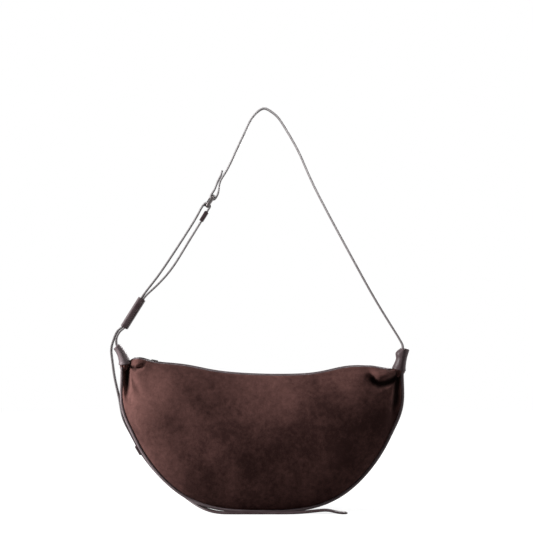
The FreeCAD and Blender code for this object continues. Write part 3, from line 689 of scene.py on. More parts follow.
def edge_share(profile, rows):
    """How much of each point lies on a flat profile's short sides, 0 to 1, for every row."""
    from_edge = np.abs(profile[:, 0]).max() - np.abs(profile[:, 0])
    return np.tile(np.clip(1.0 - from_edge / STRAP_CORNER, 0.0, 1.0), rows)


def sweep(path, profile, narrow=None):
    """The profile carried along the path, with its first part across and its second outwards.

    narrow scales the first part along the path.
    """
    along = unit(np.gradient(path, axis=0))
    across = unit(BACK - along * along[:, 1:2])
    out = np.cross(across, along)
    wide = profile[None, :, :1] * (1.0 if narrow is None else narrow[:, None, None])
    return path[:, None] + across[:, None] * wide + out[:, None] * profile[None, :, 1:]


# The bag's own curves, with x counted from its middle

def seam(u):
    """Half circle with straight ends.

    Its radius dips by a bell curve at the bottom, swells by bell curves on both sides of that
    and by a squared sine at the sides.
    """
    s = sizes()
    left = s.left_rise / s.radius
    right = s.right_rise / s.radius
    angle = (math.pi + left + right) * u - left
    swing = np.clip(angle, 0.0, math.pi) - math.pi / 2
    dip = s.radius - (s.widest - s.lowest)
    lower = s.lower_fullness * bell(np.abs(swing) - s.lower_angle, s.lower_spread)
    part = np.clip((np.abs(swing) - s.side_angle) / (math.pi / 2 - s.side_angle), 0.0, 1.0)
    side = s.side_fullness * np.sin(math.pi * part) ** 2
    radius = s.radius - dip * bell(swing, s.flat_spread) + lower + side
    above = np.maximum(-angle, 0.0) + np.maximum(angle - math.pi, 0.0)
    return radius * np.sin(swing), s.widest - radius * np.cos(swing) + s.radius * above


def seam_normal(u):
    """Unit normal of the seam in the XZ plane, away from the bag."""
    step = 0.004
    ax, az = seam(np.clip(u - step, 0.0, 1.0))
    bx, bz = seam(np.clip(u + step, 0.0, 1.0))
    size = np.hypot(bx - ax, bz - az)
    return (bz - az) / size, -(bx - ax) / size


def seam_points(u, outward, y):
    """Points at a distance outward from the seam, at depth y."""
    x, z = seam(u)
    nx, nz = seam_normal(u)
    return np.stack(np.broadcast_arrays(x + nx * outward, y, z + nz * outward), -1)


def fullness(u):
    """Half wave along the seam: 0 at the tabs, 1 at the bottom."""
    return np.maximum(0.0, np.sin(math.pi * u))


def half_depth(u):
    """Half the gusset's width: it grows fast beside the tabs and slowly near the bottom."""
    s = sizes()
    return s.corner_half + (s.base_half - s.corner_half) * (1.0 - (1.0 - fullness(u)) ** 1.6)


def gusset_crown(u):
    """Rise of the gusset's middle above its seams: a crown at the sides, a dip at the bottom."""
    s = sizes()
    flat = fullness(u) ** 6
    return s.crown * (1 - flat) * np.minimum(1.0, 3.0 * fullness(u)) - s.recess * flat


def zip_height(x):
    """Arc of the zip."""
    s = sizes()
    return s.zip_low + s.zip_radius - np.sqrt(s.zip_radius ** 2 - (x - s.zip_x) ** 2)


def top_edge(x):
    """Zip arc plus a lip, two humps, a puff beside the left tab and a drop at both corners."""
    s = sizes()
    hump_spread = 0.035
    humps = (s.left_hump * bell(x + 0.105, hump_spread)
             + s.right_hump * bell(x - 0.118, hump_spread))
    puff = s.puff * bell(x + 0.1665, 0.0120)
    drop_from = 0.146
    corner_drop = np.where(x < 0.0, 0.0034, 0.005)
    drop = corner_drop * smooth_step((np.abs(x) - drop_from) / (s.top_half - drop_from))
    return zip_height(x) + s.lip + humps + puff - drop


def top_depth(x):
    """Half the opening's width, which narrows over the last part before the corners."""
    s = sizes()
    narrow_from = 0.93
    narrow = smooth_step((np.abs(x) / s.top_half - narrow_from) / (1.0 - narrow_from))
    return s.opening_half + (s.opening_corner - s.opening_half) * narrow


def distance_to(x, z, line):
    """Distance from points to a line of straight pieces, and how far along it, from 0 to 1."""
    line = np.asarray(line, float) * MM
    runs = np.linalg.norm(np.diff(line, axis=0), axis=1)
    total = runs.sum()
    best = np.full(x.shape, np.inf)
    part = np.zeros(x.shape)
    before = 0.0
    for (ax, az), (bx, bz), run in zip(line[:-1], line[1:], runs):
        t = np.clip(((x - ax) * (bx - ax) + (z - az) * (bz - az)) / run ** 2, 0.0, 1.0)
        gap = np.hypot(x - ax - t * (bx - ax), z - az - t * (bz - az))
        nearer = gap < best
        best = np.where(nearer, gap, best)
        part = np.where(nearer, (before + t * run) / total, part)
        before += run
    return best, part


# Creases of the gathered corners, in millimetres: points from the tab on, width, share of the
# depth, and the part of the line from which the crease fades
CREASES = (
    ([(-181.8, 199.0), (-182.8, 188.0), (-182.6, 172.0), (-181.2, 158.0), (-178.0, 144.0)],
     4.6, 1.0, 0.42),
    ([(-182.0, 161.0), (-179.0, 155.5), (-176.2, 150.0), (-176.6, 142.0)], 3.2, 0.26, 0.40),
    ([(-181.5, 197.5), (-176.5, 193.2), (-170.0, 191.4), (-162.5, 194.0), (-158.0, 199.0)],
     2.4, 0.62, 0.55),
    ([(-179.0, 190.0), (-171.0, 172.0), (-158.0, 150.0)], 4.2, 0.20, 0.30),
    ([(184.4, 183.0), (182.8, 176.5), (181.8, 166.0), (180.3, 148.0), (175.0, 122.0)],
     5.0, 1.0, 0.52),
    ([(184.0, 180.5), (180.6, 178.2), (173.5, 174.6), (165.6, 171.8), (157.1, 171.2),
      (150.3, 174.6), (146.3, 180.8), (145.2, 187.5)], 5.3, 1.0, 0.76),
    ([(181.0, 174.0), (168.0, 158.0), (150.0, 144.0)], 5.0, 0.22, 0.30),
)
# Rolls of suede beside the creases: middle across and up, reach across and up, share
ROLLS = (
    (-0.170, 0.1985, 0.012, 0.0050, 1.0),
    (0.163, 0.1835, 0.018, 0.0065, 1.8),
    (0.179, 0.1880, 0.008, 0.0060, 1.26),
)
# Upright strips of suede beside the tabs: place, reach across, height of the start, share
STRIPS = ((-0.1875, 0.0035, 0.135, 0.9), (0.1885, 0.0040, 0.120, 1.0))
# Panels: how far they end below the top edge, their gap to the piping, the least swell of
# their middle and the least depth that a crease leaves
PANEL_TOP = 0.9 * MM
PANEL_GAP = 0.1 * MM
PANEL_SWELL = 0.8 * MM
PANEL_LEAST = 0.6 * MM


def crease_depth(x, z):
    """Deepest of several rounded valleys, each strongest at the tab and fading to its end."""
    total = np.zeros(x.shape)
    for line, width, share, fade in CREASES:
        gap, part = distance_to(x, z, line)
        left = 1.0 - 0.9 * smooth_step((part - fade) / (1.0 - fade))
        total = np.maximum(total, share * bell(gap, width * MM) * left)
    return total


def rolls(x, z):
    """Sum of the rolls, each a bell curve both ways, and of the strips, each a bell across."""
    total = sum(share * bell(x - at_x, wide) * bell(z - at_z, high)
                for at_x, at_z, wide, high, share in ROLLS)
    fade = 0.03
    return total + sum(share * bell(x - at_x, wide) * smooth_step((z - start) / fade)
                       for at_x, wide, start, share in STRIPS)


def soft_waves(x, z, shift):
    """Slack in the suede: a few long waves that cross at slants, in metres."""
    first = np.sin(46.0 * x + 31.0 * z + shift)
    second = np.sin(27.0 * x - 52.0 * z + 1.7 * shift)
    third = np.sin(81.0 * x + 64.0 * z - 0.6 * shift)
    return 0.0011 * first + 0.0012 * second + 0.0005 * third


def panel_grid(u, v, side, sink):
    """Lines from the top edge to the seam, bowed out, with waves, creases and rolls.

    v runs down a line from 0 to 1, and the bow is a parabola in v raised to a small power.
    sink is the distance below the suede's face.
    """
    s = sizes()
    u, v = np.meshgrid(u, v, indexing="ij")
    top_x = -s.top_half * np.cos(math.pi * u)
    top_y = top_depth(top_x)
    top_z = top_edge(top_x) - PANEL_TOP
    foot_y = half_depth(u)
    foot = seam_points(u, -s.piping - PANEL_GAP, foot_y)
    middle = np.maximum(foot_y, top_y) + PANEL_SWELL + s.bulge * fullness(u)
    bow = middle - 0.48 * top_y - 0.52 * foot_y
    x = top_x + (foot[..., 0] - top_x) * v
    z = top_z + (foot[..., 2] - top_z) * v
    rise = np.clip(4.0 * v * (1.0 - v), 0.0, 1.0)
    depth = top_y + (foot_y - top_y) * v + bow * rise ** 0.8
    depth = depth + soft_waves(x, z, 0.4 if side < 0 else 2.9) * rise ** 0.5
    fold = crease_depth(x, z)
    depth = depth - np.minimum(s.crease, 0.84 * depth) * fold
    depth = depth + s.roll * rolls(x, z) * (1.0 - fold)
    return np.stack((x, side * np.maximum(depth - sink, PANEL_LEAST), z), -1)


def panel_skin(u, v, side, sink, thickness):
    """A sheet of a thickness at a distance below the suede's face."""
    return skin(panel_grid(u, v, side, sink), panel_grid(u, v, side, sink + thickness))


def gusset_skin(u, below, thickness, inset):
    """Band between the seams: a parabola across, whose crown follows the seam's fullness."""
    u, across = np.meshgrid(u, np.linspace(-1.0, 1.0, 21), indexing="ij")
    y = (half_depth(u) - inset) * across
    wave = 0.25 * MM * np.sin(190.0 * u + 3.0 * across) * (1 - across ** 2)
    rise = gusset_crown(u) * (1.0 - across ** 2) + wave - below
    return skin(seam_points(u, rise, y), seam_points(u, rise - thickness, y))


def crowded(count):
    """Places from 0 to 1, closer together at both ends: a line less part of a sine."""
    t = np.linspace(0.0, 1.0, count)
    return t - 0.62 * np.sin(2 * math.pi * t) / (2 * math.pi)


def along_zip(points, x):
    """Points given about the zip's lowest place, turned along its arc to the place x."""
    s = sizes()
    reach = s.zip_radius - points[..., 2]
    spin = np.arcsin((np.asarray(x) - s.zip_x) / s.zip_radius) + points[..., 0] / s.zip_radius
    return np.stack((s.zip_x + reach * np.sin(spin), points[..., 1],
                     s.zip_low + s.zip_radius - reach * np.cos(spin)), -1)


def zip_strip(x, profile, middle=0.0, lift=0.0):
    """A profile across and up, carried along the zip's arc."""
    flat = np.zeros((len(x), len(profile), 3))
    flat[..., 1] = middle + profile[:, 0]
    flat[..., 2] = lift + profile[:, 1]
    return along_zip(flat, x[:, None])


def stitch_row(name, path, normal, body="bag"):
    """Short threads end to end along a path: each a rounded bar that dips at both ends."""
    run = run_along(path)
    count = max(2, int(run[-1] / STITCH_PITCH))
    places = (np.arange(count) + 0.5) * run[-1] / count
    slope = np.gradient(path, run, axis=0)
    centre = np.stack([np.interp(places, run, path[:, k]) for k in range(3)], -1)
    along = unit(np.stack([np.interp(places, run, slope[:, k]) for k in range(3)], -1))
    out = unit(normal - along * np.sum(normal * along, -1, keepdims=True))
    side = np.cross(along, out)
    t = np.linspace(-1.0, 1.0, 6)
    ring = circle(1.0, 6)
    size = STITCH_RADIUS * np.sqrt(np.maximum(0.15, 1.0 - 0.8 * t ** 4))[:, None]
    lift = STITCH_RADIUS * (0.3 - 0.9 * t ** 2)[:, None]
    bar = along[:, None, None] * (0.40 * STITCH_PITCH * t)[None, :, None, None]
    across = side[:, None, None] * (size * ring[:, 0])[None, :, :, None]
    up = out[:, None, None] * (lift + size * ring[:, 1])[None, :, :, None]
    points = centre[:, None, None] + bar + across + up
    faces = many_tubes(count, len(t), len(ring))
    return make_piece(name, points, faces, "thread", body=body, sharp=80.0)


# Operators

class BAG_OT_panels(bpy.types.Operator):
    """Front and back suede panels with gathered corners"""
    bl_idname = "bag.panels"
    bl_label = "Suede panels"

    def execute(self, context):
        u = crowded(430)
        v = np.linspace(0.0, 1.0, 100)
        for name, side in SIDES:
            points, faces = panel_skin(u, v, side, 0.0, sizes().thickness)
            # The crease depth is kept at the points, where the suede's finish paints shade into
            # the folds.
            fold = crease_depth(points[..., 0], points[..., 2])
            panel = make_piece(name + "_suede", points, faces, "suede", name + "_panel",
                               sharp=60.0, marks={"fold": fold})
        return {"FINISHED"}


class BAG_OT_linings(bpy.types.Operator):
    """Cloth linings of both panels and of the gusset, and the slip pocket"""
    bl_idname = "bag.linings"
    bl_label = "Linings"

    def execute(self, context):
        # Each cut: parts along the seam and down the panel, distance below the suede's face,
        # flat size and area
        lining = ((0.125, 0.875), (0.06, 0.94), 2.6 * MM, (0.36, 0.18), 0.0521)
        pocket = ((0.3125, 0.6875), (0.28, 0.74), 3.6 * MM, (0.206, 0.084), 0.0172)
        for name, node, side, carrier, cut in (
                ("front_lining_cloth", "front_lining", -1.0, "front_suede", lining),
                ("back_lining_cloth", "back_lining", 1.0, "back_suede", lining),
                ("pocket_cloth", "inner_pocket", 1.0, "back_lining_cloth", pocket)):
            along, down, sink, flat, area = cut
            points, faces = panel_skin(np.linspace(*along, 90), np.linspace(*down, 40), side,
                                       sink, CLOTH)
            piece = make_piece(name, points, faces, "lining", node)
        u = np.linspace(0.125, 0.875, 120)
        points, faces = gusset_skin(u, 2.0 * MM, CLOTH, 3.2 * MM)
        piece = make_piece("gusset_lining_cloth", points, faces, "lining", "gusset_lining")
        return {"FINISHED"}


class BAG_OT_gusset(bpy.types.Operator):
    """Leather gusset and the piping along both seams"""
    bl_idname = "bag.gusset"
    bl_label = "Gusset and piping"

    def execute(self, context):
        s = sizes()
        u = np.linspace(0.0, 1.0, 260)
        points, faces = gusset_skin(u, 0.0, s.thickness, 1.2 * MM)
        band = make_piece("gusset_leather", points, faces, "leather", "gusset", sharp=50.0)
        u = np.linspace(0.0, 1.0, 420)
        for name, side in SIDES:
            path = seam_points(u, 0.0, side * half_depth(u))
            pucker = 1.0 + 0.025 * np.sin(900.0 * u) * np.sin(37.0 * u + side)
            spokes = sweep(path, circle(s.piping, 16)) - path[:, None]
            grid = path[:, None] + spokes * pucker[:, None, None]
            grid[..., 2] = np.maximum(grid[..., 2], 0.0)
            make_tube(name + "_piping_leather", grid, "piping", name + "_piping", sharp=60.0)
        return {"FINISHED"}


class BAG_OT_bindings(bpy.types.Operator):
    """Leather edges of the opening, with their stitches"""
    bl_idname = "bag.bindings"
    bl_label = "Top bindings"

    def execute(self, context):
        s = sizes()
        half = 1.25 * MM
        inset = 1.5 * MM
        proud = 0.2 * MM
        x = -s.top_half * np.cos(math.pi * np.linspace(0.055, 0.945, 300))
        z = top_edge(x) - s.binding / 2 + proud
        profile = box_profile(half, s.binding / 2, 0.8 * MM)
        for name, side in SIDES:
            path = np.stack((x, side * (top_depth(x) - inset), z), -1)
            make_tube(name + "_binding_leather", sweep(path, profile), "binding",
                      name + "_top_binding")
            row = path + np.array((0.0, side * half, -0.1 * MM))
            stitch_row(name + "_binding_stitches", row, side * BACK)
        return {"FINISHED"}


class BAG_OT_zip(bpy.types.Operator):
    """Zip tapes, rows of teeth, leather ends and the pull"""
    bl_idname = "bag.zip"
    bl_label = "Zip"

    def execute(self, context):
        s = sizes()
        past_end = 4.0 * MM
        x = np.linspace(s.zip_left - past_end, s.zip_right + past_end, 240)
        half = (s.tape_outer - s.tape_inner) / 2
        middle = (s.tape_outer + s.tape_inner) / 2
        profile = box_profile(half, s.tape_thickness / 2, 0.3 * MM)
        for name, side in SIDES:
            make_tube(name + "_tape_cloth", zip_strip(x, profile, side * middle), "tape",
                      name + "_zip_tape")
        self.teeth(s)
        self.end_tab("left", s.zip_left - 15.0 * MM, s.zip_left - 2.8 * MM)
        self.end_tab("right", s.zip_right + 1.5 * MM, s.zip_right + 11.0 * MM)
        self.pull(s)
        return {"FINISHED"}

    def teeth(self, s):
        """Each tooth is a bar with a rounded head that reaches past the middle line."""
        start = s.zip_left + s.slider
        count = int((s.zip_right - 6.0 * MM - start) / s.tooth_pitch)
        profile = box_profile(1.0 * MM, 1.05 * MM, 0.35 * MM, 3)
        reach = np.array((-2.55, -2.1, -1.2, -0.2, 0.5, 0.9)) * MM
        width = np.array((0.62, 0.62, 0.5, 0.5, 0.66, 0.4))
        for name, side, first in (("front", 1.0, 0.0), ("back", -1.0, 0.5)):
            tooth = np.zeros((len(reach), len(profile), 3))
            tooth[..., 0] = profile[:, 0] * width[:, None]
            tooth[..., 1] = side * reach[:, None]
            tooth[..., 2] = profile[:, 1]
            places = start + (np.arange(count) + first) * s.tooth_pitch
            row = np.broadcast_to(tooth, (count,) + tooth.shape)
            grid = along_zip(row, places[:, None, None])
            make_piece(name + "_teeth_metal", grid, many_tubes(*grid.shape[:3]), "metal",
                       name + "_zip_teeth")

    def end_tab(self, name, low, high):
        """A small leather patch, crowned across by a parabola."""
        half = 7.2 * MM
        profile = box_profile(half, 0.6 * MM, 0.5 * MM, 5)
        profile[:, 1] *= 1.0 + 0.2 * (1 - (profile[:, 0] / half) ** 2)
        grid = zip_strip(np.linspace(low, high, 24), profile, lift=1.2 * MM)
        make_tube(name + "_zip_end_leather", grid, "leather", name + "_zip_end")

    def pull(self, s):
        """A leather tab whose sides round off towards both ends by a square root."""
        low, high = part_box("zip_pull_tab")
        rows = np.linspace(0.0, 1.0, 30)
        slider_x = s.zip_left + s.slider / 2
        slope = (s.zip_x - slider_x) / s.zip_radius
        along = (high[0] - low[0]) * (0.02 + 0.96 * rows)
        x = low[0] - s.middle_x + along
        z = high[2] - 1.55 * MM - slope * along
        far_end = np.sqrt(np.clip(rows * 6.0 + 0.12, 0.0, 1.0))
        near_end = np.sqrt(np.clip((1 - rows) * 9.0 + 0.2, 0.0, 1.0))
        half = 4.0 * MM * far_end * near_end
        profile = box_profile(1.0, 1.35 * MM, 0.6 * MM)
        grid = np.stack(np.broadcast_arrays(x[:, None], half[:, None] * profile[:, 0],
                                            z[:, None] + profile[:, 1]), -1)
        make_tube("zip_pull_leather", grid, "leather", "zip_pull_tab", body="pull")


# Strap

# Foot of the right strand, 3 mm out of the right tab's mouth
RIGHT_FOOT = np.array((191.964, 0.0, 221.234)) * MM


class Line:
    """The straight lines from the tabs to the strap's peak, and places along and off them.

    inner and outer are the two strands' offsets in the sleeve, start is where the strap leaves
    its bends, and back_turn and front_turn are the strap's radii round the buckle's bars.
    """

    def __init__(self):
        t = strap_sizes()
        joint = [j for j in frame["joints"] if j["name"] == "strap_swing"][0]
        self.left = np.array(joint["pos_m"], float) - np.array((sizes().middle_x, 0.0, 0.0))
        self.right = RIGHT_FOOT
        self.peak = np.array((t.peak_x, 0.0, self.left[2] + t.rise))
        self.left_run = np.linalg.norm(self.peak - self.left)
        self.right_run = np.linalg.norm(self.peak - self.right)
        self.left_dir = (self.peak - self.left) / self.left_run
        self.right_dir = (self.peak - self.right) / self.right_run
        self.left_out = np.array((-self.left_dir[2], 0.0, self.left_dir[0]))
        self.right_out = np.array((self.right_dir[2], 0.0, -self.right_dir[0]))
        step = (t.thickness + STRAND_GAP) / 2
        self.inner = t.sleeve_middle - step
        self.outer = t.sleeve_middle + step
        self.start = t.bend + BEND_GAP
        self.low_bar = t.buckle - t.bar_spacing / 2
        self.high_bar = t.buckle + t.bar_spacing / 2
        self.back_turn = t.bar_radius + LOOP_GAP + t.thickness / 2
        self.front_turn = t.bar_radius + 2 * PRONG_GAP + t.prong + t.thickness / 2

    def on_left(self, along, out):
        """A place along the left line and out from it."""
        return self.left + self.left_dir * along + self.left_out * out

    def on_right(self, along, out):
        """A place along the right line and out from it."""
        return self.right + self.right_dir * along + self.right_out * out

    def near_left(self, places):
        """Places given in millimetres across and up from the left line's foot."""
        return [self.left + np.array((x, 0.0, z)) * MM for x, z in places]

    def turn_round(self, bar, first_radius, last_radius, first, last):
        """Part of a spiral round a bar of the buckle, from one angle in degrees to another."""
        angle = np.radians(np.linspace(first, last, 9))
        radius = np.linspace(first_radius, last_radius, 9)
        along = bar + radius * np.sin(angle)
        out = strap_sizes().buckle_drop + radius * np.cos(angle)
        return [self.on_left(*place) for place in zip(along, out)]

    def prism(self, outline, out_from, out_to):
        """A block across the left strand: an outline along and across, run through it."""
        along, across = np.asarray(outline, float).T[..., None]
        flat = self.left + self.left_dir * along + BACK * across
        return np.stack([flat + self.left_out * out for out in (out_from, out_to)])

    def slot(self, along_from, along_to, out_from, out_to):
        """A straight block that leaves the prong room in the strap."""
        half = 1.7 * MM
        outline = [(along_from, -half), (along_to, -half), (along_to, half), (along_from, half)]
        return self.prism(outline, out_from, out_to)


def ribbon(name, points, count, *nodes, body=None, prisms=()):
    """A flat strap with rounded edges, carried along a smooth curve through the points."""
    t = strap_sizes()
    profile = box_profile(t.width / 2, t.thickness / 2, STRAP_CORNER)
    return make_tube(name, sweep(spline(points, count), profile), "strap_leather", *nodes,
                     body=body, sharp=50.0, marks={"edge": edge_share(profile, count)},
                     prisms=prisms)


class BAG_OT_strap(bpy.types.Operator):
    """Upper and lower strap, the bends beside the tabs and the tail"""
    bl_idname = "bag.strap"
    bl_label = "Strap"

    def execute(self, context):
        t = strap_sizes()
        line = Line()
        self.lower(line, t)
        self.upper(line, t)
        self.bends(line, t)
        self.tail(self.tail_bend(line, t), t)
        return {"FINISHED"}

    def lower(self, line, t):
        """Up through the sleeve, round the buckle's lower bar and back beside itself."""
        start = t.sleeve_start
        end = start + t.sleeve_length
        below = 22.0 * MM
        bar = line.low_bar
        span = bar - end
        front = t.buckle_drop + line.front_turn
        in_sleeve = [start + part * t.sleeve_length for part in (0.15, 0.40, 0.70)]
        inner = [(line.start, line.inner + t.sway), (below, line.inner + 0.58 * t.sway),
                 (start, line.inner + 0.16 * t.sway)]
        inner += [(along, line.inner) for along in in_sleeve]
        inner += [(end - 4.0 * MM, line.inner), (end + 1.0 * MM, line.inner - 0.1 * MM)]
        inner += [(end + part * span, line.inner - share * t.drop)
                  for part, share in ((0.12, 0.36), (0.34, 0.98), (0.60, 1.04))]
        inner += [(bar - 10.0 * MM, t.buckle_drop - line.back_turn - 0.1 * MM)]
        turn = line.turn_round(bar, line.back_turn, line.front_turn, 180.0, 0.0)
        outer = [(bar - 12.0 * MM, front), (end + 0.70 * span, front - 0.7 * MM),
                 (end + 0.45 * span, front), (end + 0.20 * span, 0.45 * line.outer),
                 (end + 7.0 * MM, line.outer - 0.3 * MM), (end - 4.0 * MM, line.outer)]
        outer += [(along, line.outer) for along in in_sleeve[::-1]]
        outer += [(start, line.outer + 0.18 * t.outer_sway),
                  (below, line.outer + 0.60 * t.outer_sway),
                  (line.start, line.outer + t.outer_sway)]
        points = ([line.on_left(*place) for place in inner] + turn
                  + [line.on_left(*place) for place in outer])
        past = t.thickness / 2 + 0.5 * MM
        prisms = [line.slot(bar - 4.5 * MM, bar + line.front_turn + past,
                            t.buckle_drop + t.bar_radius - 1.0 * MM, front + past)]
        for k in range(4):
            middle = np.array((end + 0.25 * span + k * t.hole_pitch, 0.0))
            prisms.append(line.prism(middle + circle(t.hole, 24), -4.6 * MM, 7.4 * MM))
        ribbon("lower_strap_leather", points, 420, "lower_strap", body="strap", prisms=prisms)

    def upper(self, line, t):
        """From its flap round the buckle's upper bar, over the peak and down to the right tab."""
        bar = line.high_bar
        join = bar + 24.0 * MM
        out = -2.0 * MM
        above = out + t.thickness
        flap = [(join + 13.0 * MM, above + 3.2 * MM), (join + 5.0 * MM, above + 1.05 * MM),
                (join - 2.0 * MM, above + 0.55 * MM),
                (bar + 9.0 * MM, t.buckle_drop + line.back_turn + 0.2 * MM)]
        turn = line.turn_round(bar, line.back_turn, line.back_turn, 0.0, -180.0)
        climb = [(bar + 9.0 * MM, t.buckle_drop - line.back_turn + 0.9 * MM),
                 (join - 2.0 * MM, out - 0.2 * MM), (join + 10.0 * MM, out + 0.4 * MM)]
        # Distances before and after the peak and out from the lines, in millimetres
        bow = ((68.0, 1.9), (43.0, 4.9), (20.0, 7.0), (7.0, 4.6))
        fall = ((7.0, 5.4), (17.0, 9.4), (35.0, 11.2), (78.0, 10.4), (106.0, 7.1), (155.0, 3.5))
        climb += [(line.left_run - a * MM, o * MM) for a, o in bow]
        descent = [(line.right_run - a * MM, o * MM) for a, o in fall]
        descent += [(line.right_run * 0.34, 0.2 * MM), (line.right_run * 0.20, -0.9 * MM),
                    (line.start, t.mouth_shift)]
        points = ([line.on_left(*place) for place in flap] + turn
                  + [line.on_left(*place) for place in climb] + [line.peak]
                  + [line.on_right(*place) for place in descent])
        reach = line.back_turn + t.thickness / 2
        prisms = [line.slot(bar - reach - 0.5 * MM, bar + 7.0 * MM,
                            t.buckle_drop - 3.0 * MM, t.buckle_drop + reach + 0.8 * MM),
                  line.slot(bar - 6.0 * MM, bar + 4.4 * MM,
                            t.buckle_drop - reach - 0.6 * MM, t.buckle_drop + reach + 0.6 * MM)]
        ribbon("upper_strap_leather", points, 640, "upper_strap", body="strap", prisms=prisms)

    def bends(self, line, t):
        """The soft lengths above the tabs, from the bag below to the strap above."""
        bowed = line.near_left(((-0.1, 3.2), (0.2, 8.6), (2.1, 13.6)))
        straight = [line.on_right(along, t.mouth_shift) for along in (9.0 * MM, t.bend - 2.0 * MM)]
        for tab, side, middle, end in (
                (left_tab(), 1.0, bowed, line.on_left(t.bend, line.inner + t.sway)),
                (right_tab(), -1.0, straight, line.on_right(t.bend, t.mouth_shift))):
            off = tab.side * side * t.mouth_shift
            foot = tab.mouth + off
            low = tab.base + tab.along * (0.52 * tab.length) + off
            points = [low, foot - tab.along * 2.0 * MM, foot + tab.along * 0.6 * MM]
            piece = ribbon(tab.name + "_bend_leather", points + middle + [end], 60,
                           tab.name + "_strap_bend", tab.name + "_strap_root")
            start, end = in_frame((foot - tab.along * 1.0 * MM, end))
            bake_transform(piece)

    def tail_bend(self, line, t):
        """The soft length from the outer strand to the tail; gives the point where it ends."""
        points = [line.on_left(t.bend, line.outer + t.outer_sway)]
        points += line.near_left(((-0.6, 14.7), (-2.9, 8.9), (-4.7, 3.6), (-6.2, -1.9),
                                  (-6.9, -10.0)))
        piece = ribbon("tail_bend_leather", points, 60, "tail_bend")
        start, end = in_frame((points[0], points[-1]))
        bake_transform(piece)
        return points[-1]

    def tail(self, start, t):
        """Down the left gusset, under the front seam and along the floor to a rounded tip."""
        s = sizes()
        half = t.thickness / 2
        points = [start + np.array((x, 0.0, z)) * MM
                  for x, z in ((0.05, -0.1), (1.3, -10.5), (2.7, -21.4), (4.3, -32.3))]
        # On the gusset: place along the seam, then millimetres to the front and off the leather
        on_gusset = [(u, 0.0, 0.0) for u in (0.075, 0.11, 0.15, t.keeper_place, 0.226, 0.263)]
        for u, y, extra in on_gusset + [(0.300, -2.0, 0.3), (0.336, -7.5, 0.8)]:
            u = np.array(u)
            rise = gusset_crown(u) + TAIL_GAP + half + extra * MM
            points.append(seam_points(u, rise, y * MM))
        side = -(s.base_half + s.piping + 0.45 * MM + t.width / 2)
        # Under the seam: share of the radius from the middle, share of the way out, lift in mm
        for along, part, lift in ((-0.465, 0.47, 8.4), (-0.405, 0.73, 4.2), (-0.35, 0.89, 1.7),
                                  (-0.29, 0.97, 0.3)):
            points.append(np.array((along * s.radius, part * side, half + lift * MM)))
        run = np.linspace(-0.15 * s.radius, t.tail_tip, 12)
        spread = np.where(run < t.tail_hump, 28.0, 13.0) * MM
        hump = t.tail_lift * bell(run - t.tail_hump, spread)
        points += [np.array((x, side, half + z)) for x, z in zip(run, hump)]
        count = 460
        path = spline(points, count)
        path[:, 2] = np.maximum(path[:, 2], half)
        profile = box_profile(t.width / 2, half, STRAP_CORNER)
        left_over = np.clip((t.tail_tip - path[:, 0]) / (t.width / 2), 0.0, 1.0)
        rounded = np.sqrt(np.maximum(0.01, 1.0 - (1.0 - left_over) ** 2))
        narrow = np.where(path[:, 2] < 0.02, rounded, 1.0)
        # Painted light on the cut edges fades out low down and is left off where the tail lies on
        # the floor.
        edge_light_above_floor = np.repeat(smooth_step((path[:, 2] - 0.04) / 0.12), len(profile))
        make_tube("tail_leather", sweep(path, profile, narrow), "strap_leather", "strap_tail",
                  sharp=50.0, marks={"edge": edge_share(profile, count) * edge_light_above_floor})


class Tab:
    """Place, direction and outline of a corner tab.

    points are its base, middle and mouth, and lefts and rights its half widths there, in
    millimetres. mouth is where the strap leaves it, and lean its tilt in degrees.
    """

    def __init__(self, name, points, lefts, rights, mouth, lean):
        angle = math.radians(lean)
        self.name = name
        self.points = np.array([(x, 0.0, z) for x, z in points]) * MM
        self.lefts = np.array(lefts) * MM
        self.rights = np.array(rights) * MM
        self.along = np.array((math.sin(angle), 0.0, math.cos(angle)))
        self.side = np.array((self.along[2], 0.0, -self.along[0]))
        self.mouth = np.array((mouth[0], 0.0, mouth[1])) * MM
        self.base = self.points[0]
        self.length = float(np.dot(self.mouth - self.base, self.along))

    def through(self, values, part):
        """Parabola through a value at the base, the middle and the mouth."""
        first = (1 - part) * (1 - 2 * part)
        second = 4 * part * (1 - part)
        third = part * (2 * part - 1)
        shape = (-1,) + (1,) * (values.ndim - 1)
        return sum(w.reshape(shape) * v for w, v in zip((first, second, third), values))


def left_tab():
    """The left tab, which leans outwards."""
    return Tab("left", ((-186.9, 197.5), (-190.4, 210.0), (-197.4, 220.6)), (7.6, 6.4, 5.4),
               (8.8, 6.4, 5.4), (-196.81, 220.58), -26.0)


def right_tab():
    """The right tab, which is steeper."""
    return Tab("right", ((187.2, 189.7), (190.0, 203.2), (192.4, 217.4)), (8.2, 7.6, 7.2),
               (7.8, 6.4, 6.6), (191.34, 218.30), 12.0)


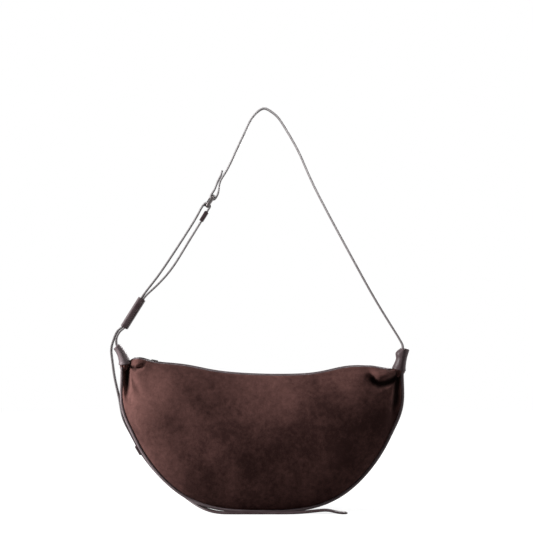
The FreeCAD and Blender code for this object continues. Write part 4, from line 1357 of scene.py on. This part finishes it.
def rolled_wall(name, spine, side, left, right, depth, wall, power, node, body="bag",
                kind="leather", groove=0.0):
    """A tube with a wall: a section of that wall along the spine, out and back, carried round.

    left, right and depth are its half widths along the spine, and groove is the share by which
    a fold along its front and back dips.
    """
    turn = turns(96) + 0.01
    count = len(spine)
    rim = wall * 0.5
    angle = np.linspace(-math.pi / 2, math.pi / 2, 9)[1:-1]
    index = np.arange(count)
    ends = np.ones(len(angle), int)
    order = np.concatenate((index, ends * (count - 1), index[::-1], ends * 0))
    inward = np.concatenate((np.zeros(count), rim + rim * np.sin(angle), np.full(count, wall),
                             rim - rim * np.sin(angle)))
    push = np.concatenate((np.zeros(count), rim * np.cos(angle), np.zeros(count),
                           -rim * np.cos(angle)))
    along = unit(np.gradient(spine, axis=0))
    half = np.where(np.cos(turn)[:, None] < 0.0, left[order][None], right[order][None])
    a, b = superellipse(half - inward, (depth[order] - inward)[None], turn[:, None], power)
    b = b * (1.0 - groove * bell(np.cos(turn) - 0.16, 0.11))[:, None]
    centre = spine[order] + along[order] * push[:, None]
    grid = centre[None] + side[order][None] * a[..., None] + BACK * b[..., None]
    return make_ring(name, grid, kind, node, body=body, sharp=55.0)


class BAG_OT_tabs(bpy.types.Operator):
    """Rolled leather corner tabs and the gathered suede inside them"""
    bl_idname = "bag.tabs"
    bl_label = "Corner tabs"

    def execute(self, context):
        part = np.linspace(0.0, 1.0, 40)
        flare = 0.5 * MM * bell(part, 0.10)
        depth = (10.5 - 1.2 * part) * MM + flare
        for tab in (left_tab(), right_tab()):
            spine = tab.through(tab.points, part)
            along = unit(np.gradient(spine, axis=0))
            side = np.stack((along[:, 2], 0 * part, -along[:, 0]), -1)
            left = tab.through(tab.lefts, part) + flare
            right = tab.through(tab.rights, part) + flare
            groove = 0.0
            if tab.name == "right":
                swell = 2.6 * bell(part - 0.74, 0.17) + 2.2 * bell(part, 0.36)
                left = left + (swell - 3.6 * bell(part - 1.06, 0.12)) * MM
                right = right + 1.2 * MM * bell(part - 1.0, 0.30)
                groove = 0.11
            rolled_wall(tab.name + "_tab_leather", spine, side, left, right, depth, 1.8 * MM,
                        2.05, tab.name + "_corner_tab", kind="tab", groove=groove)
            self.gather(tab)
        return {"FINISHED"}

    def gather(self, tab):
        """A pleated plug: an oval whose edge waves in and out, wider where it leaves the tab."""
        pleats = 11
        part = np.linspace(-0.42, 0.5, 40)
        inside = np.clip(part, 0.0, 1.0)
        turn = turns(120)
        tip = np.sqrt(np.maximum(0.02, 1.0 - (part / 0.43) ** 2))
        swell = np.where(part < 0.0, tip, 1.0) + 0.10 * bell(part + 0.10, 0.10)
        wave = 1.0 - 0.13 * (0.5 + 0.5 * np.cos(pleats * turn + 0.8))[None, :]
        half_a = ((7.0 - 2.6 * inside) * swell * MM)[:, None] * wave
        half_b = ((9.0 - 1.9 * inside) * swell * MM)[:, None] * wave
        a, b = superellipse(half_a, half_b, turn[None, :], 2.4)
        centre = tab.through(tab.points, part)
        grid = centre[:, None] + tab.side * a[..., None] + BACK * b[..., None]
        make_tube(tab.name + "_gather_suede", grid, "suede", tab.name + "_gather", sharp=70.0)


class BAG_OT_loops(bpy.types.Operator):
    """Strap sleeve, buckle keeper and the loop on the gusset"""
    bl_idname = "bag.loops"
    bl_label = "Leather loops"

    def execute(self, context):
        t = strap_sizes()
        line = Line()
        self.sleeve(line, t)
        self.buckle_keeper(line, t)
        self.tail_keeper(t)
        return {"FINISHED"}

    def sleeve(self, line, t):
        """A rounded tube round both strands, with a row of stitches in front and behind."""
        half_y = t.width / 2 + t.sleeve_room + t.sleeve_wall
        half_out = t.thickness + STRAND_GAP / 2 + t.sleeve_room + t.sleeve_wall
        places = np.linspace(t.sleeve_start, t.sleeve_start + t.sleeve_length, 50)
        spine = np.stack([line.on_left(along, t.sleeve_middle) for along in places])
        self.loop("strap_sleeve_leather", spine, line.left_out, half_out, half_y, t.sleeve_wall,
                  "strap_sleeve", "sleeve", 3.6)
        for name, side in SIDES:
            row = spine + BACK * side * half_y - line.left_out * (0.5 * half_out)
            stitch_row("sleeve_stitches_" + name, row[2:-2], side * BACK, "sleeve")

    def buckle_keeper(self, line, t):
        """A flat loop round the inner strand below the buckle."""
        wall = 1.2 * MM
        room = KEEPER_GAP + wall
        places = np.linspace(line.low_bar - 21.0 * MM, line.low_bar - 7.0 * MM, 20)
        middle = t.buckle_drop - line.back_turn
        spine = np.stack([line.on_left(along, middle) for along in places])
        self.loop("buckle_keeper_leather", spine, line.left_out, t.thickness / 2 + room,
                  t.width / 2 + room, wall, "buckle_keeper", "strap")

    def tail_keeper(self, t):
        """A flat loop on the gusset, round the tail."""
        wall = 1.6 * MM
        seam_length = 0.616
        place = np.array(t.keeper_place)
        u = place + np.linspace(-0.5, 0.5, 16) * t.keeper_length / seam_length
        spine = seam_points(u, gusset_crown(place) + TAIL_GAP + t.thickness / 2, 0.0)
        nx, nz = seam_normal(place)
        self.loop("tail_keeper_leather", spine, np.array((nx, 0.0, nz)),
                  t.thickness / 2 + KEEPER_GAP + wall, t.width / 2 + 0.3 * MM + wall, wall,
                  "tail_keeper", "bag")

    def loop(self, name, spine, side, half_side, half_y, wall, node, body, power=7.0):
        """A tube of leather with rounded corners, of the same width all along its spine."""
        half = np.full(len(spine), half_side)
        rolled_wall(name, spine, np.broadcast_to(side, spine.shape), half, half,
                    np.full(len(spine), half_y), wall, power, node, body)


class BAG_OT_buckle(bpy.types.Operator):
    """Buckle frame"""
    bl_idname = "bag.buckle"
    bl_label = "Buckle frame"

    def execute(self, context):
        t = strap_sizes()
        line = Line()
        half_y = t.width / 2 + 0.8 * MM + t.bar_radius
        outline = box_profile(half_y, t.bar_spacing / 2, 3.0 * MM, 9)
        path = np.stack([line.on_left(t.buckle + along, t.buckle_drop) for along in outline[:, 1]])
        path[:, 1] = outline[:, 0]
        ahead = unit(np.roll(path, -1, 0) - np.roll(path, 1, 0))
        up = np.broadcast_to(line.left_out, path.shape)
        across = np.cross(ahead, up)
        wire = circle(t.bar_radius, 20)
        grid = (path[:, None] + across[:, None] * wire[None, :, :1]
                + up[:, None] * wire[None, :, 1:])
        make_ring("buckle_frame_metal", grid, "metal", "buckle_frame", body="strap")
        return {"FINISHED"}


class BAG_OT_hardware(bpy.types.Operator):
    """Finish of the metal pieces that keep their own shape"""
    bl_idname = "bag.hardware"
    bl_label = "Metal pieces"

    def execute(self, context):
        for node in ("zip_slider", "zip_pull_link", "zip_stops", "buckle_prong"):
            mesh = frame["nodes"][node].data
            mesh.materials.clear()
            mesh.materials.append(finish("metal"))
        return {"FINISHED"}


# Lamps: name, place, the point that it looks at, size and power in watts
LAMPS = (
    ("key", (-2.31, -0.41, 0.95), (-0.05, 0.0, 0.15), 0.8, 130.0),
    ("top", (0.0, 0.05, 2.1), (0.0, 0.0, 0.1), 1.2, 20.0),
    ("fill", (1.2, -2.2, 0.9), (0.0, 0.0, 0.15), 1.8, 1.5),
    ("side", (2.3, 0.45, 0.9), (0.1, 0.0, 0.15), 1.0, 24.0),
    ("back", (0.7, 2.3, 1.1), (0.0, 0.0, 0.15), 1.2, 45.0),
)
CAMERA_PLACE = (0.011, -2.2, 0.3296)
CAMERA_AIM = (0.011, 0.0, 0.3296)
CAMERA_HALF_VIEW = 9.35


class BAG_OT_stage(bpy.types.Operator):
    """Pale floor, white background, soft lamps and the camera"""
    bl_idname = "bag.stage"
    bl_label = "Stage"

    def execute(self, context):
        scene = context.scene
        self.floor(scene)
        self.background(scene)
        for name, place, aim, size, power in LAMPS:
            light = bpy.data.lights.new(name, "AREA")
            light.size = size
            light.energy = power
            self.point_at(add_object(name, light, scene.collection), place, aim)
        self.camera(scene)
        scene.view_settings.view_transform = "Standard"
        return {"FINISHED"}

    def seen(self, f):
        """1 where the camera, a reflection or glass looks, and 0 for the light on the bag."""
        looks = f.node("ShaderNodeLightPath", output="Is Camera Ray")
        for ray in ("Is Glossy Ray", "Is Transmission Ray"):
            other = f.node("ShaderNodeLightPath", output=ray)
            looks = f.node("ShaderNodeMath", {"operation": "MAXIMUM"}, {0: looks, 1: other})
        return looks

    def floor(self, scene):
        """A large flat sheet that shows white, darkened where the bag's shadow falls."""
        reach = 6.0
        mesh = bpy.data.meshes.new("floor")
        corners = [(-reach, -reach, 0.0), (reach, -reach, 0.0), (reach, reach, 0.0),
                   (-reach, reach, 0.0)]
        mesh.from_pydata(corners, [], [(0, 1, 2, 3)])
        f = Finish("floor")
        plain = f.node("ShaderNodeBsdfDiffuse", None, {"Color": tone(scene.bag_colours.floor)})
        bright = f.node("ShaderNodeEmission", None, {"Color": WHITE, "Strength": 0.86})
        shadow = f.node("ShaderNodeBsdfDiffuse", None, {"Color": tone((0.30, 0.30, 0.30))})
        near = f.node("ShaderNodeAddShader", None, {0: shadow, 1: bright})
        far = f.node("ShaderNodeEmission", None, {"Color": WHITE, "Strength": 1.0})
        away = f.node("ShaderNodeVectorMath", {"operation": "LENGTH"}, {0: f.place()},
                      output="Value")
        shown = self.mix(f, f.stretch(away, 0.8, 1.6), near, far)
        mixed = self.mix(f, self.seen(f), plain, shown)
        f.node("ShaderNodeOutputMaterial", None, {"Surface": mixed})
        mesh.materials.append(f.material)
        add_object("floor", mesh, scene.collection)

    def mix(self, f, factor, first, second):
        """A shader between two."""
        return f.node("ShaderNodeMixShader", None, {0: factor, 1: first, 2: second})

    def background(self, scene):
        """White where it is looked at, and a weak even light on the bag."""
        world = bpy.data.worlds.new("studio")
        world.use_nodes = True
        f = Finish("studio", world.node_tree)
        soft, white = (f.node("ShaderNodeBackground", None, {"Color": WHITE, "Strength": strength})
                       for strength in (0.05, 1.0))
        mixed = self.mix(f, self.seen(f), soft, white)
        f.node("ShaderNodeOutputWorld", None, {"Surface": mixed})
        scene.world = world

    def camera(self, scene):
        """A level camera whose view is twice its half angle across."""
        lens = bpy.data.cameras.new("camera")
        lens.sensor_width = 36.0
        lens.lens = lens.sensor_width / 2 / math.tan(math.radians(CAMERA_HALF_VIEW))
        scene.camera = add_object("camera", lens, scene.collection)
        self.point_at(scene.camera, CAMERA_PLACE, CAMERA_AIM)

    def point_at(self, thing, place, aim):
        """Puts a lamp or the camera at a place and turns it to a point."""
        thing.location = place
        look = Vector(aim) - Vector(place)
        thing.rotation_euler = look.to_track_quat("-Z", "Y").to_euler()


class BAG_PT_panel(bpy.types.Panel):
    """Sizes, colours and steps of the bag"""
    bl_label = "Half moon bag"
    bl_idname = "BAG_PT_panel"
    bl_space_type = "VIEW_3D"
    bl_region_type = "UI"
    bl_category = "Bag"

    def draw(self, context):
        for group in GROUPS:
            box = self.layout.box()
            values = getattr(context.scene, group)
            for name in values.bl_rna.properties.keys():
                if name not in ("rna_type", "name"):
                    box.prop(values, name)
        for step in STEPS:
            self.layout.operator(step.bl_idname)


STEPS = (BAG_OT_panels, BAG_OT_linings, BAG_OT_gusset, BAG_OT_bindings, BAG_OT_zip, BAG_OT_strap,
         BAG_OT_tabs, BAG_OT_loops, BAG_OT_buckle, BAG_OT_hardware, BAG_OT_stage)
GROUPS = {"bag_sizes": BagSizes, "strap_sizes": StrapSizes, "bag_colours": BagColours}
CLASSES = tuple(GROUPS.values()) + STEPS + (BAG_PT_panel,)


def register():
    """Adds the classes and the settings."""
    for made in CLASSES:
        bpy.utils.register_class(made)
    for name, group in GROUPS.items():
        setattr(bpy.types.Scene, name, PointerProperty(type=group))


def unregister():
    """Takes the settings and the classes away."""
    for name in GROUPS:
        delattr(bpy.types.Scene, name)
    for made in reversed(CLASSES):
        bpy.utils.unregister_class(made)


def main():
    """Dresses the part step by step."""
    register()
    for step in STEPS:
        group, name = step.bl_idname.split(".")
        getattr(getattr(bpy.ops, group), name)()


if __name__ == "__main__":
    main()
